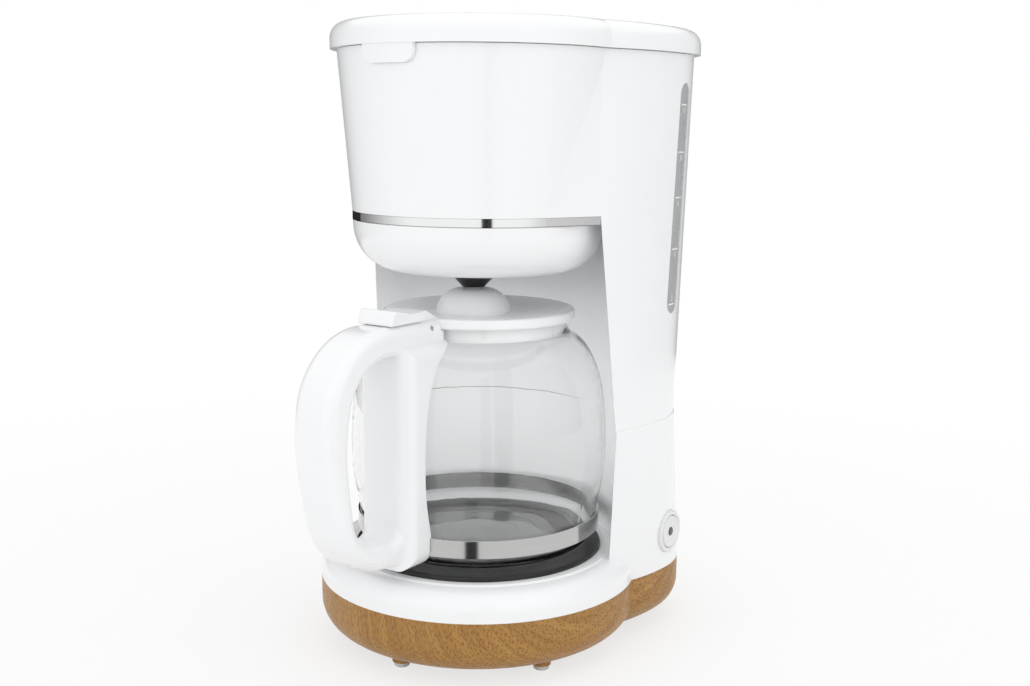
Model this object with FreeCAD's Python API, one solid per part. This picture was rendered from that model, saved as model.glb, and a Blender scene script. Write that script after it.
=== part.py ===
"""Drip coffee maker with a glass carafe, a rear water tank and a wood-look base.

Lengths are in millimetres, +Z is up and the front of the machine faces -Y. The model is drawn
about the carafe's axis and moved at the end, so that the origin lies under the middle of its box.
The carafe comes first: the niche, the base, the head and the tank take their size from it.
"""
import FreeCAD, Part
import math
import os
from collections import namedtuple

# Outline of the rear body at one height: bowed sides, round corners and a bowed back
Lobe = namedtuple("Lobe", "half_width widest_y side_radius corner rear")

# Clearances
FIT_GAP = 0.3
RUNNING_GAP = 0.05
PLAY = 0.1
PAST = 1.0  # how far a cutting shape runs beyond the face it opens
FAR = 400.0

# Walls
WALL = 2.5
BASE_WALL = 3.0
TANK_FLOOR = 3.0

# Carafe; the profile is (inset from the belly, share of the rim's height), from the foot up
GLASS_RADIUS = 76.2
GLASS_RIM_HEIGHT = 154.0
GLASS_WALL = 2.4
GLASS_FOOT_INSET = 15.2
GLASS_FOOT_RADIUS = GLASS_RADIUS - GLASS_FOOT_INSET
GLASS_PUNT = 2.5
GLASS_PUNT_SHARE = 0.8
GLASS_NECK_INSET = 24.2
GLASS_NECK_RADIUS = GLASS_RADIUS - GLASS_NECK_INSET
GLASS_NECK_LENGTH = 4.0
GLASS_PROFILE = ((7.0, 0.169), (4.9, 0.247), (2.0, 0.351), (0.0, 0.513), (0.9, 0.649),
                 (3.7, 0.766), (8.9, 0.857), (17.6, 0.929))
BAND_LOW = 29.0
CARAFE_BAND_HEIGHT = 10.0
CARAFE_BAND_SHEET = 0.9
BAND_LUG_WIDTH = 10.0
BAND_LUG_LENGTH = 14.0
BAND_LUG_SHEET = 1.5
LUG_SCREW_INSET = 5.0

# Carafe lid
CARAFE_LID_OVERHANG = 4.5
CARAFE_LID_RADIUS = GLASS_NECK_RADIUS + CARAFE_LID_OVERHANG
CARAFE_LID_RIM = 6.0
CARAFE_LID_EDGE = 5.0
CARAFE_LID_DISH = 2.0
CARAFE_LID_ROUND = 1.8
CARAFE_LID_SHEET = 2.5
PLUG_DEPTH = 8.0
DOME_RADIUS = 22.0
DOME_ROUND = 15.0
DOME_FILLET = 6.0
DOME_RISE = 18.0
DOME_TOP = GLASS_RIM_HEIGHT + DOME_RISE
DOME_SHEET = 2.5
DRIP_HOLE_RADIUS = 4.5
LEVER_LENGTH = 30.0
LEVER_WIDTH = 24.0
LEVER_HEIGHT = 5.5
LEVER_TIP_RISE = 3.0
LEVER_TIP_LENGTH = 3.0
LEVER_DIP_ROUND = 20.0
LEVER_ROUND = 2.0
LUG_WIDTH = 18.0
LUG_LENGTH = 6.0
LUG_DROP = 3.5
LUG_HEEL = 3.0
CARAFE_PIN_RADIUS = 1.5
CARAFE_PIN_OUTSET = 6.0
CARAFE_PIN_DROP = 4.0

# Carafe handle, drawn in the middle plane and given a width
HANDLE_OUTSET = 70.8
HANDLE_REACH = GLASS_RADIUS + HANDLE_OUTSET
HANDLE_WIDTH = 28.0
HANDLE_ROUND = 6.5
HANDLE_RISE = 6.0
HANDLE_TOP = GLASS_RIM_HEIGHT + HANDLE_RISE
HANDLE_FOOT = 24.0
HANDLE_FOOT_RISE = 6.0
HANDLE_THICKNESS = 16.0
HANDLE_SPINE = 11.0
HANDLE_LENGTH = HANDLE_TOP - HANDLE_FOOT
HANDLE_BOW_RISE = 6.0
HANDLE_BOW_ROUND = HANDLE_LENGTH * 0.85
HANDLE_TOP_LEAN = 6.0
HANDLE_TOP_ROUND = HANDLE_LENGTH * 0.34
HANDLE_FOOT_LEAN = 15.0
HANDLE_FOOT_LIFT = 9.0
HANDLE_FOOT_ROUND = HANDLE_LENGTH * 0.29
HANDLE_NECK_DROP = 40.0
HANDLE_NOSE_DROP = 14.0
HANDLE_NOSE_LAP = 1.0
HANDLE_NOSE_Y = GLASS_NECK_RADIUS + HANDLE_NOSE_LAP
HANDLE_GLASS_GAP = 0.5
FINGER_GAP = 41.0
FINGER_GAP_ROUND = 5.0
FINGER_BOW_ROUND = HANDLE_LENGTH * 0.66
FINGER_TOP_LEAN = 7.0
FINGER_TOP_ROUND = HANDLE_LENGTH * 0.22
FINGER_FOOT_LEAN = 6.5
FINGER_FOOT_LIFT = 7.0
FINGER_FOOT_ROUND = HANDLE_LENGTH * 0.15
FINGER_HEEL_ROUND = 8.0
FINGER_NECK_DROP = 42.0
FINGER_NECK_ROUND = HANDLE_LENGTH * 0.22
FINGER_NOSE_LEAN = 9.0
FINGER_NOSE_ROUND = 8.0
FINGER_EDGE_MARGIN = 8.0
SHIELD_HALF = 18.0
SHIELD_ROUND = 9.0
SHIELD_SHEET = 3.0
SHIELD_DROP = 5.0
SHIELD_CORNER = 8.0

# Niche round the carafe, and the body's sizes that follow it
NICHE_GAP = 5.8
NICHE_RADIUS = GLASS_RADIUS + NICHE_GAP
NICHE_FLARE_Y = 31.0
BASE_MARGIN = 13.0
BASE_RADIUS = NICHE_RADIUS + BASE_MARGIN
HEAD_INSET = 8.0
HEAD_FLARE = 7.8
HEAD_LOW_RADIUS = NICHE_RADIUS - HEAD_INSET
HEAD_TOP_RADIUS = HEAD_LOW_RADIUS + HEAD_FLARE
PLATE_INSET = 2.2
PLATE_RADIUS = GLASS_RADIUS - PLATE_INSET

# Feet and base
PAD_HEIGHT = 3.0
PAD_RADIUS = 4.5
PAD_ROUND = 1.0
BOSS_HEIGHT = 3.5
BOSS_RADIUS = 5.5
FEET_INSET = 21.0
FRONT_FEET_RADIUS = BASE_RADIUS - FEET_INSET
FRONT_FEET_ANGLES = (-65.0, 0.0, 65.0)
REAR_FOOT_SIDE = 25.0
REAR_FOOT_BACK = 17.0
BASE_HEIGHT = 32.0
BASE_ROUND = 18.0

# Body outlines, from the seam above the base to the top under the lid
WIDEST_INSET = 29.0
WAIST_WIDEST_INSET = 39.0
SEAM_BOW = 1.2
UPPER_SIDE_RADIUS = 55.0 + BASE_RADIUS
REAR_EASE = 4.0
WAIST_EASE = 9.5
SEAM_REACH = 31.0
WAIST_REACH = 25.5
TOP_REACH = 32.0
WAIST_STEP = 0.7
TOP_FLARE = 1.0
SEAM_LOBE = Lobe(BASE_RADIUS, BASE_RADIUS - WIDEST_INSET, BASE_RADIUS * SEAM_BOW,
                 WIDEST_INSET + SEAM_REACH - REAR_EASE, BASE_RADIUS + SEAM_REACH)
WAIST_LOBE = Lobe(BASE_RADIUS - WAIST_STEP, BASE_RADIUS - WAIST_WIDEST_INSET, UPPER_SIDE_RADIUS,
                  WAIST_WIDEST_INSET + WAIST_REACH - WAIST_EASE, BASE_RADIUS + WAIST_REACH)
TOP_LOBE = Lobe(BASE_RADIUS + TOP_FLARE, BASE_RADIUS - WIDEST_INSET, UPPER_SIDE_RADIUS,
                WIDEST_INSET + TOP_REACH - REAR_EASE, BASE_RADIUS + TOP_REACH)
LOBE_FRONT_Y = 0.0
WAIST_HEIGHT = 94.0
WAIST_FRONT_Y = 12.0
DECK_FRONT_Y = 14.0

# Deck and warming plate
DECK_HEIGHT = 16.0
DECK_ROUND = 11.0
DECK_LIP_INSET = 15.0
DECK_LIP_RADIUS = BASE_RADIUS - DECK_LIP_INSET
DECK_LIP_WIDTH = 3.0
DECK_LIP_HEIGHT = 0.8
DECK_LIP_BEVEL = 1.0
PLATE_RISE = 4.0
PLATE_SHEET = 1.5
PLATE_BEVEL_WIDTH = 8.0
PLATE_GROOVES = (24.0, 36.0, 48.0)
PLATE_GROOVE_DEPTH = 0.6
PLATE_GROOVE_WIDTH = 2.0
SEAL_HEIGHT = 1.5
SEAL_WIDTH = 5.0
STUD_RADIUS = 3.0

# Head, band, bowl and drip valve; the valve hangs just above the carafe's dome
VALVE_RADIUS = 14.0
VALVE_TIP_RADIUS = 6.4
VALVE_DROP = 10.0
VALVE_SIDE = 2.0
VALVE_ROUND = 4.0
VALVE_TIP_ROUND = 1.0
VALVE_ROOM = 8.0
VALVE_TRAVEL = 3.0
VALVE_STEM_RADIUS = 2.5
VALVE_SEAL_RADIUS = 9.0
VALVE_SEAL_HEIGHT = 2.0
VALVE_DOME_GAP = 0.5
SPRING_WIRE = 0.5
SPRING_CLEARANCE = 2.0
VALVE_SPRING_TURNS = 4
BAND_HEIGHT = 5.0
BAND_THICKNESS = 1.2
BOWL_HEIGHT = 34.5
BOWL_ROUND = 27.0
BOWL_TAPER = 2.5
BOWL_LOW_RADIUS = HEAD_LOW_RADIUS - BOWL_TAPER
HEAD_LENGTH = 90.2
HEAD_HEIGHT = DOME_TOP + VALVE_DOME_GAP + VALVE_DROP + BOWL_HEIGHT
BODY_HEIGHT = HEAD_HEIGHT + HEAD_LENGTH

# Top lid and its hinge
LID_GAP = 0.3
LID_OVERHANG = 3.8
LID_HEIGHT = 16.0
LID_ROUND = 9.0
LID_CROWN_RADIUS = 4000.0
LID_SKIRT_DEPTH = 4.0
LID_SKIRT_WALL = 2.0
LID_SKIRT_GAP = 1.0
TAB_WIDTH = 34.0
TAB_DROP = 10.0
TAB_THICKNESS = 3.0
TAB_ROUND = 7.0
KNUCKLE_RADIUS = 3.5
LID_KNUCKLE_LENGTH = 36.0
EAR_LENGTH = 12.0
EAR_DROP = 14.0
HINGE_PIN_RADIUS = 1.5
HINGE_Y = TOP_LOBE.rear + KNUCKLE_RADIUS + FIT_GAP

# Water tank and its window
TANK_FRONT_Y = 34.0
PARTITION_DROP = 8.0
WINDOW_BACK = 1.0
WINDOW_LEAN = 3.8
WINDOW_Y = TOP_LOBE.widest_y + WINDOW_BACK
WINDOW_WIDTH = 13.0
WINDOW_FOOT = 63.0
WINDOW_HEADROOM = 16.2
WINDOW_LOW = WAIST_HEIGHT + WINDOW_FOOT
WINDOW_HIGH = BODY_HEIGHT - WINDOW_HEADROOM
WINDOW_RECESS = 0.4

# Filter and spreader, on an axis a little in front of the carafe's
DRIP_FORWARD = 6.0
BASKET_GAP = 1.9
BASKET_LOW_INSET = 18.0
BASKET_LOW_RADIUS = HEAD_LOW_RADIUS - BASKET_LOW_INSET
BASKET_WALL = 2.0
BASKET_LIP = 2.0
BASKET_LIP_HEIGHT = 3.0
BASKET_ROUND = 6.0
BASKET_FLOOR_RADIUS = 12.0
BASKET_FOOT_RADIUS = 36.0
BASKET_CONE_HEIGHT = 12.0
BASKET_HEADROOM = 52.7
BASKET_HEIGHT = HEAD_LENGTH + BOWL_HEIGHT - BASKET_HEADROOM
OUTLET_RADIUS = 8.0
OUTLET_BORE = 5.5
MESH_WALL = 0.8
MESH_TOP_WALL = 1.2
MESH_RIM = 3.0
MESH_GAP = 2.0
MESH_TIP_RADIUS = 18.0
MESH_ROUND = 4.0
MESH_TIP_GAP = 16.0
MESH_HEIGHT = BASKET_HEIGHT - MESH_TIP_GAP
GRIP_BAR_WIDTH = 6.0
SHOWER_RADIUS = 22.0
SHOWER_HEIGHT = 3.0
SHOWER_HOLE_RADIUS = 1.5
SHOWER_HOLE_RING = 13.2
SHOWER_HOLES = 10
ARM_WIDTH = 16.0
ARM_HEIGHT = 6.0

# Water circuit under the plate and in the column
PIPE_INSET = 32.0
PIPE_BEHIND = 16.0
PIPE_X = PLATE_RADIUS - PIPE_INSET
PIPE_Y = NICHE_RADIUS + PIPE_BEHIND
HEATER_RADIUS = 5.0
HEATER_BORE = 3.4
HEATER_END = 22.0
HEATER_END_Y = PIPE_Y - HEATER_END
HEATER_BEND_Y = 40.0
HEATER_BEND_LENGTH = 13.0
HEATER_BEND_RADIUS = 10.0
ELEMENT_RADIUS = 3.4
ELEMENT_END_Y = 34.0
HOSE_WALL = 2.2
HOSE_BEND = 14.0
HOSE_LAP = 12.0
RISER_RADIUS = 5.0
RISER_BORE = 3.6
RISER_LOW = 56.0
CHECK_VALVE_LENGTH = 10.0
GROMMET_FLANGE = 2.5
GROMMET_WALL = 1.8
CLAMP_WIDTH = 14.0
CLAMP_SHEET = 2.0
NUT_RADIUS = 5.0
NUT_HEIGHT = 4.0
THERMOSTAT_RADIUS = 8.0
THERMOSTAT_HEIGHT = 7.0
THERMOSTAT_STEP = 2.0
FUSE_RADIUS = 2.2
FUSE_LENGTH = 18.0
CONTROL_Y = 20.0

# Push button on the right side
BUTTON_HEIGHT = 22.0
BUTTON_BACK = 1.0
BUTTON_Y = SEAM_LOBE.widest_y + BUTTON_BACK
BEZEL_RADIUS = 13.0
BEZEL_PROUD = 1.6
BEZEL_SEAT_DEPTH = 3.0
BEZEL_LIP = 3.2
BEZEL_ROUND = 1.2
BUTTON_PROUD = 0.6
BUTTON_DISC = 5.0
BUTTON_DISH = 0.8
BUTTON_ROUND = 1.0
BUTTON_TRAVEL = 2.5
BUTTON_SPRING_TURNS = 3
STEM_RADIUS = 3.0
LENS_RADIUS = 2.6
LENS_DEPTH = 3.0
LENS_PROUD = 0.4
BUTTON_BOSS_DEPTH = 9.0
BUTTON_BOSS_WALL = 3.0
SWITCH_DEPTH = 16.0
SWITCH_WIDTH = 22.0
SWITCH_HEIGHT = 26.0

# Cord gland and terminal block
GLAND_HEIGHT = 14.0
GLAND_RADIUS = 6.0
GLAND_FLANGE = 3.0
GLAND_PROUD = 2.0
GLAND_BORE = 3.6
GLAND_ROUND = 0.8
TERMINAL_LENGTH = 26.0
TERMINAL_WIDTH = 14.0
TERMINAL_HEIGHT = 12.0

# Screws up through the base into posts under the deck
SCREW_RADIUS = 1.7
SCREW_HEAD_RADIUS = 3.6
SCREW_HEAD_HEIGHT = 2.2
SCREW_LENGTH = 16.0
SCREW_SLOT_WIDTH = 0.9
SCREW_SLOT_LENGTH = 4.4
SCREW_SLOT_DEPTH = 1.2
POST_RADIUS = 5.0
FRONT_POST_INSET = 2.5
FRONT_POST_ANGLE = 40.0
REAR_POST_INSET = 1.5
REAR_POST_ANGLE = 132.0

# Heights above the floor that follow from the sizes above
FLOOR_Z = PAD_HEIGHT + BOSS_HEIGHT
SEAM_Z = FLOOR_Z + BASE_HEIGHT
DECK_Z = SEAM_Z + DECK_HEIGHT
PLATE_Z = DECK_Z + PLATE_RISE
WAIST_Z = SEAM_Z + WAIST_HEIGHT
HEAD_Z = SEAM_Z + HEAD_HEIGHT
TOP_Z = SEAM_Z + BODY_HEIGHT
BAND_Z = HEAD_Z - BAND_HEIGHT
BOWL_Z = HEAD_Z - BOWL_HEIGHT
LID_Z = TOP_Z + LID_GAP
LID_TOP_Z = LID_Z + LID_HEIGHT


def at(x, y, z=0.0):
    return FreeCAD.Vector(x, y, z)


def arc(start, middle, end):
    return Part.Arc(start, middle, end).toShape()


def line(start, end):
    return Part.LineSegment(start, end).toShape()


def cylinder(radius, z_low, z_high, x=0.0, y=0.0):
    return Part.makeCylinder(radius, z_high - z_low, at(x, y, z_low))


def cross_cylinder(radius, x_low, x_high, y, z):
    """Cylinder along X."""
    return Part.makeCylinder(radius, x_high - x_low, at(x_low, y, z), at(1, 0, 0))


def tube(radius, bore, z_low, z_high, x=0.0, y=0.0):
    return cylinder(radius, z_low, z_high, x, y).cut(cylinder(bore, z_low, z_high, x, y))


def block(x_low, x_high, y_low, y_high, z_low, z_high):
    return Part.makeBox(x_high - x_low, y_high - y_low, z_high - z_low, at(x_low, y_low, z_low))


def rounded_edges(corners, closed):
    """Straight runs joined by tangent arcs; corners are (point, radius), radius 0 is sharp."""
    count = len(corners)
    entries = []
    exits = []
    arcs = []
    for index, (point, radius) in enumerate(corners):
        is_end = not closed and index in (0, count - 1)
        if radius == 0 or is_end:
            entries.append(point)
            exits.append(point)
            arcs.append(None)
            continue
        back = (corners[index - 1][0] - point).normalize()
        ahead = (corners[(index + 1) % count][0] - point).normalize()
        half = back.getAngle(ahead) / 2
        reach = radius / math.tan(half)
        inward = (back + ahead).normalize()
        entries.append(point + back * reach)
        exits.append(point + ahead * reach)
        arcs.append(point + inward * (radius / math.sin(half) - radius))
    edges = []
    for index in range(count):
        if arcs[index] is not None:
            edges.append(arc(entries[index], arcs[index], exits[index]))
        if closed or index < count - 1:
            target = entries[(index + 1) % count]
            if exits[index].distanceToPoint(target) > 1e-6:
                edges.append(line(exits[index], target))
    return edges


def revolved(corners, y=0.0):
    """Solid of revolution about a vertical axis; corners are (radius, z, rounding)."""
    points = [(at(radius, 0, z), rounding) for radius, z, rounding in corners]
    face = Part.Face(Part.Wire(rounded_edges(points, True)))
    solid = face.revolve(at(0, 0, 0), at(0, 0, 1), 360)
    solid.translate(at(0, y, 0))
    return solid


def side_prism(corners, half_width):
    """Outline in the YZ plane, as (y, z, rounding), given a width along X."""
    points = [(at(-half_width, y, z), rounding) for y, z, rounding in corners]
    face = Part.Face(Part.Wire(rounded_edges(points, True)))
    return face.extrude(at(2 * half_width, 0, 0))


def front_prism(corners, y_front, y_back):
    """Outline in the XZ plane, as (x, z, rounding), given a depth along Y."""
    points = [(at(x, y_front, z), rounding) for x, z, rounding in corners]
    face = Part.Face(Part.Wire(rounded_edges(points, True)))
    return face.extrude(at(0, y_back - y_front, 0))


def piped(path_edges, radius, direction):
    """Round bar along a path of lines and arcs that starts along direction."""
    path = Part.Wire(path_edges)
    start = path_edges[0].valueAt(path_edges[0].FirstParameter)
    section = Part.Wire(Part.makeCircle(radius, start, direction))
    return path.makePipeShell([section], True, False)


def shrunk(lobe, inset):
    return Lobe(lobe.half_width - inset, lobe.widest_y, lobe.side_radius - inset,
                lobe.corner - inset, lobe.rear - inset)


def between(low, high, share):
    return Lobe(*(a + (b - a) * share for a, b in zip(low, high)))


def lobe_wire(lobe, front_y, z):
    side_x = lobe.half_width - lobe.side_radius
    side_turn = math.asin((lobe.widest_y - front_y) / lobe.side_radius)
    corner_x = lobe.half_width - lobe.corner
    depth = lobe.rear - lobe.widest_y
    rear_radius = (corner_x**2 + depth**2 - lobe.corner**2) / (2 * (depth - lobe.corner))
    corner_turn = math.atan2(lobe.widest_y - lobe.rear + rear_radius, corner_x)

    def on_side(turn, side):
        x = side_x + lobe.side_radius * math.cos(turn)
        return at(side * x, lobe.widest_y - lobe.side_radius * math.sin(turn), z)

    def on_corner(turn, side):
        x = corner_x + lobe.corner * math.cos(turn)
        return at(side * x, lobe.widest_y + lobe.corner * math.sin(turn), z)

    edges = [line(on_side(side_turn, -1), on_side(side_turn, 1)),
             arc(on_side(side_turn, 1), on_side(side_turn / 2, 1), on_side(0, 1)),
             arc(on_corner(0, 1), on_corner(corner_turn / 2, 1), on_corner(corner_turn, 1)),
             arc(on_corner(corner_turn, 1), at(0, lobe.rear, z), on_corner(corner_turn, -1)),
             arc(on_corner(corner_turn, -1), on_corner(corner_turn / 2, -1), on_corner(0, -1)),
             arc(on_side(0, -1), on_side(side_turn / 2, -1), on_side(side_turn, -1))]
    return Part.Wire(edges)


def lobe_block(low, high, z_low, z_high, front_y):
    """Rear body between two heights, each with its own outline."""
    wires = [lobe_wire(low, front_y, z_low), lobe_wire(high, front_y, z_high)]
    return Part.makeLoft(wires, True, True)


def upper_lobe(inset, z):
    return shrunk(between(WAIST_LOBE, TOP_LOBE, (z - WAIST_Z) / (TOP_Z - WAIST_Z)), inset)


def lower_lobe(inset, z):
    foot = SEAM_LOBE
    waist = shrunk(WAIST_LOBE, -WAIST_STEP)
    return shrunk(between(foot, waist, (z - SEAM_Z) / (WAIST_Z - SEAM_Z)), inset)


def upper_block(inset, z_low, z_high, front_y):
    return lobe_block(upper_lobe(inset, z_low), upper_lobe(inset, z_high), z_low, z_high, front_y)


def lower_block(inset, z_low, z_high, front_y):
    return lobe_block(lower_lobe(inset, z_low), lower_lobe(inset, z_high), z_low, z_high, front_y)


def head_radius(z):
    slope = (HEAD_TOP_RADIUS - HEAD_LOW_RADIUS) / (TOP_Z - HEAD_Z)
    return HEAD_LOW_RADIUS + slope * (z - HEAD_Z)


def head_cone(inset, z_low, z_high):
    low = head_radius(z_low) - inset
    high = head_radius(z_high) - inset
    return Part.makeCone(low, high, z_high - z_low, at(0, 0, z_low))


def in_front_of(y_low, z_low, y_high, z_high):
    """Everything in front of a straight front edge between two heights."""
    return side_prism([(-FAR, z_low, 0), (y_low, z_low, 0), (y_high, z_high, 0), (-FAR, z_high, 0)],
                      FAR)


def front_feet():
    for angle in FRONT_FEET_ANGLES:
        turn = math.radians(angle)
        yield FRONT_FEET_RADIUS * math.sin(turn), -FRONT_FEET_RADIUS * math.cos(turn)


def all_feet():
    side, back = BASE_RADIUS - REAR_FOOT_SIDE, BASE_RADIUS - REAR_FOOT_BACK
    return list(front_feet()) + [(-side, back), (side, back)]


def posts():
    """Places of the screw posts, two under the deck's front and two under its rear."""
    for radius, angle in ((PLATE_RADIUS - FRONT_POST_INSET, FRONT_POST_ANGLE),
                          (NICHE_RADIUS - REAR_POST_INSET, REAR_POST_ANGLE)):
        turn = math.radians(angle)
        for side in (-1, 1):
            yield side * radius * math.sin(turn), -radius * math.cos(turn)


def coil(radius, wire, z_low, z_high, turns):
    """Compression spring as one bar along biarcs, a quarter turn each."""
    low = z_low + wire
    rise = (z_high - z_low - 2 * wire) / (turns * 4)
    pitch_slope = rise / (radius * math.pi / 2)

    def place(quarter):
        turn = quarter * math.pi / 2
        return at(radius * math.cos(turn), radius * math.sin(turn), low + rise * quarter)

    def heading(quarter):
        turn = quarter * math.pi / 2
        return at(-math.sin(turn), math.cos(turn), pitch_slope).normalize()

    def arc_between(start, start_heading, end, reach):
        corner = start + start_heading * reach
        middle = (start + end) * 0.5
        half = start.distanceToPoint(end) / 2
        bend = math.acos(min(1.0, half / reach))
        lift = (corner - middle).normalize() * (half * math.tan(bend / 2))
        return arc(start, middle + lift, end)

    edges = []
    for quarter in range(turns * 4):
        start, end = place(quarter), place(quarter + 1)
        first, last = heading(quarter), heading(quarter + 1)
        across = end - start
        along = across.dot(first + last)
        bend = 1 - first.dot(last)
        reach = (math.sqrt(along**2 + 2 * bend * across.dot(across)) - along) / (2 * bend)
        joint = (start + end + (first - last) * reach) * 0.5
        edges.append(arc_between(start, first, joint, reach))
        edges.append(arc_between(joint, (joint - start - first * reach).normalize(), end, reach))
    gap = 4 * rise - 2 * wire
    print("spring of", turns, "turns, gap between turns", round(gap, 2))
    return piped(edges, wire, heading(0))


def base_lobe(inset, z_high):
    """Rear of the base with its round lower edge, or its inside when inset by the wall."""
    lobe = shrunk(SEAM_LOBE, inset)
    low = FLOOR_Z + inset
    rear = lobe_block(lobe, lobe, low, z_high, LOBE_FRONT_Y)
    foot_edges = [edge for edge in rear.Edges
                  if edge.BoundBox.ZMax < low + PLAY and edge.BoundBox.YMax > LOBE_FRONT_Y + PAST]
    return rear.makeFillet(BASE_ROUND - inset, foot_edges)


def make_wood_base():
    drum = revolved([(0, FLOOR_Z, 0), (BASE_RADIUS, FLOOR_Z, BASE_ROUND),
                     (BASE_RADIUS, SEAM_Z, 0), (0, SEAM_Z, 0)])
    base = drum.fuse(base_lobe(0, SEAM_Z))
    for x, y in all_feet():
        base = base.fuse(cylinder(BOSS_RADIUS, PAD_HEIGHT, FLOOR_Z + BASE_WALL, x, y))
    inside = revolved([(0, FLOOR_Z + BASE_WALL, 0),
                       (BASE_RADIUS - BASE_WALL, FLOOR_Z + BASE_WALL, BASE_ROUND - BASE_WALL),
                       (BASE_RADIUS - BASE_WALL, SEAM_Z + PAST, 0), (0, SEAM_Z + PAST, 0)])
    base = base.cut(inside).cut(base_lobe(BASE_WALL, SEAM_Z + PAST))
    for x, y in posts():
        base = base.fuse(cylinder(POST_RADIUS, FLOOR_Z, FLOOR_Z + BASE_WALL, x, y))
        base = base.cut(cylinder(SCREW_RADIUS + PLAY, FLOOR_Z - PAST, SEAM_Z, x, y))
        base = base.cut(cylinder(SCREW_HEAD_RADIUS + FIT_GAP, FLOOR_Z - PAST,
                                 FLOOR_Z + SCREW_HEAD_HEIGHT, x, y))
    return base.removeSplitter()


def make_foot_pads():
    return Part.makeCompound([revolved([(0, 0, 0), (PAD_RADIUS, 0, PAD_ROUND),
                                        (PAD_RADIUS, PAD_HEIGHT, 0), (0, PAD_HEIGHT, 0)])
                              .translated(at(x, y)) for x, y in all_feet()])


def button_side_x():
    """Outside of the wall at the button's height."""
    lobe = lower_lobe(0, SEAM_Z + BUTTON_HEIGHT)
    return lobe.half_width


def side_x(lobe, y):
    """Outside of a lobe's bowed side in front of its widest place."""
    return lobe.half_width - lobe.side_radius + math.sqrt(lobe.side_radius**2 - (lobe.widest_y - y)**2)


def niche_flare(low_lobe, low_y, low_z, high_lobe, high_y, high_z):
    """Opens the niche out to the column's front edges, so that no blunt face is left there."""
    niche_x = math.sqrt(NICHE_RADIUS**2 - NICHE_FLARE_Y**2)
    wires = []
    for lobe, y, z in ((low_lobe, low_y, low_z), (high_lobe, high_y, high_z)):
        edge_x = side_x(lobe, y)
        lean = (edge_x - niche_x) / (NICHE_FLARE_Y - y)
        mouth_x = edge_x + PAST * lean
        corners = [at(-niche_x, NICHE_FLARE_Y, z), at(-mouth_x, y - PAST, z), at(mouth_x, y - PAST, z),
                   at(niche_x, NICHE_FLARE_Y, z)]
        wires.append(Part.makePolygon(corners + corners[:1]))
    return Part.makeLoft(wires, True, True)


def make_lower_housing():
    lip_outside = DECK_LIP_RADIUS + DECK_LIP_WIDTH / 2
    lip_inside = DECK_LIP_RADIUS - DECK_LIP_WIDTH / 2
    lip_z = DECK_Z + DECK_LIP_HEIGHT
    opening = PLATE_RADIUS + FIT_GAP
    ledge_z = DECK_Z - SEAL_HEIGHT
    drum = revolved([(0, SEAM_Z, 0), (BASE_RADIUS, SEAM_Z, 0), (BASE_RADIUS, DECK_Z, DECK_ROUND),
                     (lip_outside, DECK_Z, 0), (lip_outside - DECK_LIP_BEVEL, lip_z, 0),
                     (lip_inside + DECK_LIP_BEVEL, lip_z, 0), (lip_inside, DECK_Z, 0), (0, DECK_Z, 0)])
    column = lower_block(0, SEAM_Z, WAIST_Z, LOBE_FRONT_Y)
    column = column.cut(in_front_of(DECK_FRONT_Y, DECK_Z, WAIST_FRONT_Y, WAIST_Z))
    column = column.cut(cylinder(NICHE_RADIUS, DECK_Z, WAIST_Z + PAST))
    column = column.cut(niche_flare(lower_lobe(0, DECK_Z), DECK_FRONT_Y, DECK_Z,
                                    lower_lobe(0, WAIST_Z), WAIST_FRONT_Y, WAIST_Z))
    housing = drum.fuse(column)
    inner_top = DECK_Z - WALL - SEAL_HEIGHT
    inside = revolved([(0, SEAM_Z - PAST, 0), (BASE_RADIUS - WALL, SEAM_Z - PAST, 0),
                       (BASE_RADIUS - WALL, inner_top, DECK_ROUND - WALL), (0, inner_top, 0)])
    column_inside = lower_block(WALL, SEAM_Z - PAST, WAIST_Z + PAST, TANK_FRONT_Y)
    column_inside = column_inside.cut(cylinder(NICHE_RADIUS + WALL, inner_top, WAIST_Z + 2 * PAST))
    housing = housing.cut(inside).cut(column_inside)
    housing = housing.cut(cylinder(opening, ledge_z, DECK_Z + PLATE_RISE))
    housing = housing.cut(cylinder(PLATE_RADIUS - SEAL_WIDTH, SEAM_Z, DECK_Z + PAST))
    for x, y in posts():
        housing = housing.fuse(cylinder(POST_RADIUS, FLOOR_Z + BASE_WALL, inner_top + PAST, x, y))
        housing = housing.cut(cylinder(SCREW_RADIUS + PLAY, FLOOR_Z, FLOOR_Z + SCREW_LENGTH + PAST, x, y))
    z = SEAM_Z + BUTTON_HEIGHT
    outside = button_side_x()
    boss_x = outside - BUTTON_BOSS_DEPTH
    boss_radius = BEZEL_RADIUS + BUTTON_BOSS_WALL
    boss = cross_cylinder(boss_radius, boss_x, outside, BUTTON_Y, z)
    housing = housing.fuse(boss.common(lower_block(WALL / 2, SEAM_Z, WAIST_Z, LOBE_FRONT_Y)))
    seat_x = outside - BEZEL_SEAT_DEPTH
    housing = housing.cut(cross_cylinder(BEZEL_RADIUS + PLAY, seat_x, FAR, BUTTON_Y, z))
    housing = housing.cut(cross_cylinder(button_radius() + FIT_GAP, boss_x - PAST, FAR, BUTTON_Y, z))
    rear = lower_lobe(0, SEAM_Z + GLAND_HEIGHT).rear
    gland_hole = Part.makeCylinder(GLAND_RADIUS + PLAY, 4 * WALL,
                                   at(0, rear - 3 * WALL, SEAM_Z + GLAND_HEIGHT), at(0, 1, 0))
    return housing.cut(gland_hole).removeSplitter()


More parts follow.
